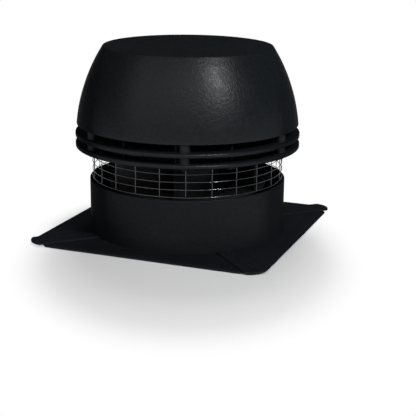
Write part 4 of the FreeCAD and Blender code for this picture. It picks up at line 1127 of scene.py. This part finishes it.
@dataclass
class Impeller(SubAssembly):
    """The impeller with its hub, nut and shaft."""

    edges: Edges = ((0.4, ("impeller_backplate", "impeller_front_ring", "impeller_hub", "cooling_disc")),)
    rings: Rings = (("hub_rivets", rivet(6.0), BoltCircle(6, 29.0, 0.0, 138.5)),)
    blades: int = 6
    start_radius: float = 76.0
    end_radius: float = 131.0
    sweep: float = 44.0
    bend: float = 100.0
    sheet: float = 2.5
    sheet_edge: float = 0.2
    angle: float = -87.0
    low: float = 82.0
    high: float = 136.0
    nut: Fastener = Fastener(8.0, 9.0, Head.HEXAGON, 13.6, 10.0, 1.6)
    nut_seat: Seat = ((0.0, 0.0, 112.0), DOWN, 12.0)
    shaft_radius: float = 8.0
    shaft_ends: Pair = (99.0, 278.7)
    shaft_chamfer: float = 1.4

    def blade_grid(self) -> Grid:
        """Draw one blade: a strip between two arcs about one centre, with rounded edges.

        Returns:
            The closed surface.
        """
        start = np.array([self.start_radius, 0.0])
        end = np.array(polar(self.end_radius, -self.sweep)[:2])
        centre, turn = arc_between(start, end, -self.bend, 36)
        nose = np.linspace(0, np.pi, 7)[1:-1]
        middle = self.bend + self.sheet / 2
        radius = middle - self.sheet / 2 * np.cos(nose)
        swing = np.sin(nose) * self.sheet / 2 / middle
        strips = ((self.bend, turn), (radius, turn[-1] - swing), (self.bend + self.sheet, turn[::-1]),
                  (radius[::-1], turn[0] + swing[::-1]))
        outline = np.vstack([np.reshape(reach, (-1, 1)) * heading(angle) for reach, angle in strips])
        return prism(centre + outline, self.low, self.high, self.sheet_edge)

    def build(self) -> None:
        """Round the discs, and build the hub rivets, the blades, the nut and the shaft."""
        super().build()
        make_piece("impeller_blades", "bent", around(self.blade_grid(), self.blades, self.angle))
        self.nut.build("hub_nut", [self.nut_seat])
        radii = [0.0, self.shaft_chamfer, self.shaft_chamfer, 0.0]
        make_piece("shaft", "turned", [barrel((0.0, self.shaft_radius), self.shaft_ends, radii, 2, 48)])


@dataclass(frozen=True)
class Lamp:
    """A square soft lamp that looks at the middle of the fan.

    The azimuth is its direction about Z, in degrees from +X, and the elevation
    its angle above the floor. The distance and the side's size are metres.
    Glossy surfaces show it only where it is mirrored.
    """

    name: str
    azimuth: float
    elevation: float
    distance: float
    size: float
    watts: float
    colour: Point = (1.0, 1.0, 1.0)
    mirrored: bool = True

    def hang(self, middle: Vector) -> None:
        """Put the lamp into the scene.

        Args:
            middle: where it looks, in metres.
        """
        data = bpy.data.lights.new(self.name, "AREA")
        data.size, data.energy, data.color = self.size, self.watts, self.colour
        lamp = put(bpy.data.objects.new(self.name, data))
        level, rise, _ = polar(self.distance, self.elevation)
        lamp.location = middle + Vector(polar(level, self.azimuth, rise))
        lamp.rotation_euler = (middle - lamp.location).to_track_quat("-Z", "Y").to_euler()
        lamp.visible_glossy = self.mirrored


@dataclass
class Studio:
    """Floor, lamps, world and camera, with sizes in metres."""

    focal_pixels: float = 1058.0
    frame_pixels: float = 416.0
    sensor: float = 36.0
    clip: Pair = (0.05, 60.0)
    place: Point = (0.6618, -1.6424, 0.5450)
    pitch: float = 16.16
    roll: float = 0.65
    yaw: float = 20.78
    floor_reach: float = 12.0
    floor_height: float = -0.0004
    floor_tone: float = 0.87
    floor_tone_unseen: float = 0.3
    floor_tint: Point = (1.0, 0.977, 0.972)
    room_colour: tuple[float, ...] = (0.9, 0.95, 1.0, 1.0)
    room_strength: float = 0.02
    ceiling: Pair = (-0.02, 0.03)
    fade_azimuth: float = -68.05
    fade_middle: float = 0.151
    fade_radii: Pair = (1.0, 0.685)
    fade_range: Pair = (0.295, 0.416)
    middle: Point = (0.0, 0.0, 0.15)
    lamps: tuple[Lamp, ...] = (
        Lamp("behind", 112.0, 52.0, 2.8, 1.0, 34.0, mirrored=False),
        Lamp("key", -31.0, 43.0, 2.7, 0.35, 28.0, (0.95, 0.98, 1.0)),
        Lamp("key_low", -31.0, 33.0, 2.8, 0.35, 21.0, (0.92, 0.97, 1.0)),
        Lamp("front", -68.0, 35.0, 3.0, 1.8, 14.0, (0.96, 0.98, 1.0)),
        Lamp("left", -115.0, 32.0, 2.8, 2.2, 16.0, (1.0, 0.96, 0.9)),
    )

    def camera(self) -> None:
        """Place the camera at the photograph's angle: level along Y, then rolled, tilted and turned."""
        data = bpy.data.cameras.new("camera")
        data.sensor_fit = "HORIZONTAL"
        data.sensor_width = self.sensor
        data.lens = self.sensor * self.focal_pixels / self.frame_pixels
        data.clip_start, data.clip_end = self.clip
        camera = put(bpy.data.objects.new("camera", data))
        matrix = Matrix.Translation(self.place)
        for degrees, axis in ((self.yaw, "Z"), (90.0 - self.pitch, "X"), (self.roll, "Z")):
            matrix = matrix @ Matrix.Rotation(math.radians(degrees), 4, axis)
        camera.matrix_world = matrix
        bpy.context.scene.camera = camera

    def floor(self) -> None:
        """Lay a white floor that keeps the fan's shadow."""
        mesh = bpy.data.meshes.new("floor")
        signs = ((-1, -1), (1, -1), (1, 1), (-1, 1))
        corners = [(x * self.floor_reach, y * self.floor_reach, self.floor_height) for x, y in signs]
        mesh.from_pydata(corners, [], [(0, 1, 2, 3)])
        floor = put(bpy.data.objects.new("floor", mesh))
        material = bpy.data.materials.new("floor")
        material.use_nodes = True
        graph = Graph(material.node_tree)
        seen = graph.background_rays()
        tone = graph.ramp(seen, 0.0, 1.0, self.floor_tone_unseen, self.floor_tone)
        shares = (graph.math("MULTIPLY", tone, share) for share in self.floor_tint)
        paint = graph.add("ShaderNodeCombineColor", None, *shares)
        matt = graph.add("ShaderNodeBsdfDiffuse", Color=paint.outputs[0])
        white = graph.add("ShaderNodeEmission", Color=WHITE, Strength=1.0)
        faded = graph.math("MULTIPLY", seen, self.fade(graph))
        graph.add("ShaderNodeOutputMaterial", Surface=graph.blend(faded, matt, white))
        mesh.materials.append(material)

    def fade(self, graph: Graph) -> Socket:
        """Work out how far the floor has faded to white.

        The floor's own coordinates are turned so that the first axis points
        at the camera; an ellipse about a middle on that axis is plain floor,
        and a wider one is white.

        Args:
            graph: the floor material's graph.

        Returns:
            A value from 0 to 1.
        """
        placed = graph.add("ShaderNodeMapping", {"vector_type": "TEXTURE"}, Vector=graph.own("Object"),
                           Rotation=(0.0, 0.0, math.radians(self.fade_azimuth)),
                           Location=polar(self.fade_middle, self.fade_azimuth),
                           Scale=(*self.fade_radii, 1.0)).outputs[0]
        distance = graph.add("ShaderNodeVectorMath", {"operation": "LENGTH"}, placed).outputs["Value"]
        return graph.ramp(distance, *self.fade_range)

    def world(self) -> None:
        """Fill the room with a dim light that the camera sees as white.

        Mirrored and refracted rays see the same white up to the horizon, and
        above it the dim ceiling that the lamps hang from.
        """
        world = bpy.data.worlds.new("room")
        bpy.context.scene.world = world
        world.use_nodes = True
        graph = Graph(world.node_tree)
        camera = graph.add("ShaderNodeLightPath").outputs["Is Camera Ray"]
        below = graph.ramp(graph.rise(graph.own("Generated")), *self.ceiling, 1.0, 0.0)
        seen = graph.math("MAXIMUM", camera, graph.math("MULTIPLY", graph.background_rays(), below))
        dim = graph.add("ShaderNodeBackground", Color=self.room_colour, Strength=self.room_strength)
        white = graph.add("ShaderNodeBackground", Color=WHITE, Strength=1.0)
        graph.add("ShaderNodeOutputWorld", Surface=graph.blend(seen, dim, white))

    def build(self) -> None:
        """Build the floor, the lamps, the world and the camera."""
        self.floor()
        self.world()
        self.camera()
        for lamp in self.lamps:
            lamp.hang(Vector(self.middle))
        bpy.context.scene.view_settings.view_transform = "Standard"


def main() -> None:
    """Build the fan's looks and the studio."""
    logging.basicConfig(level=logging.INFO, format="%(name)s: %(message)s")
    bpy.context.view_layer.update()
    dress_solids()
    for part in (FlashingBase(), CollarFittings(), Hinge(), LouvreStack(), Dome(), BirdGuard(), MotorRoom(),
                 Impeller(), Studio()):
        part.build()


if __name__ == "__main__":
    main()
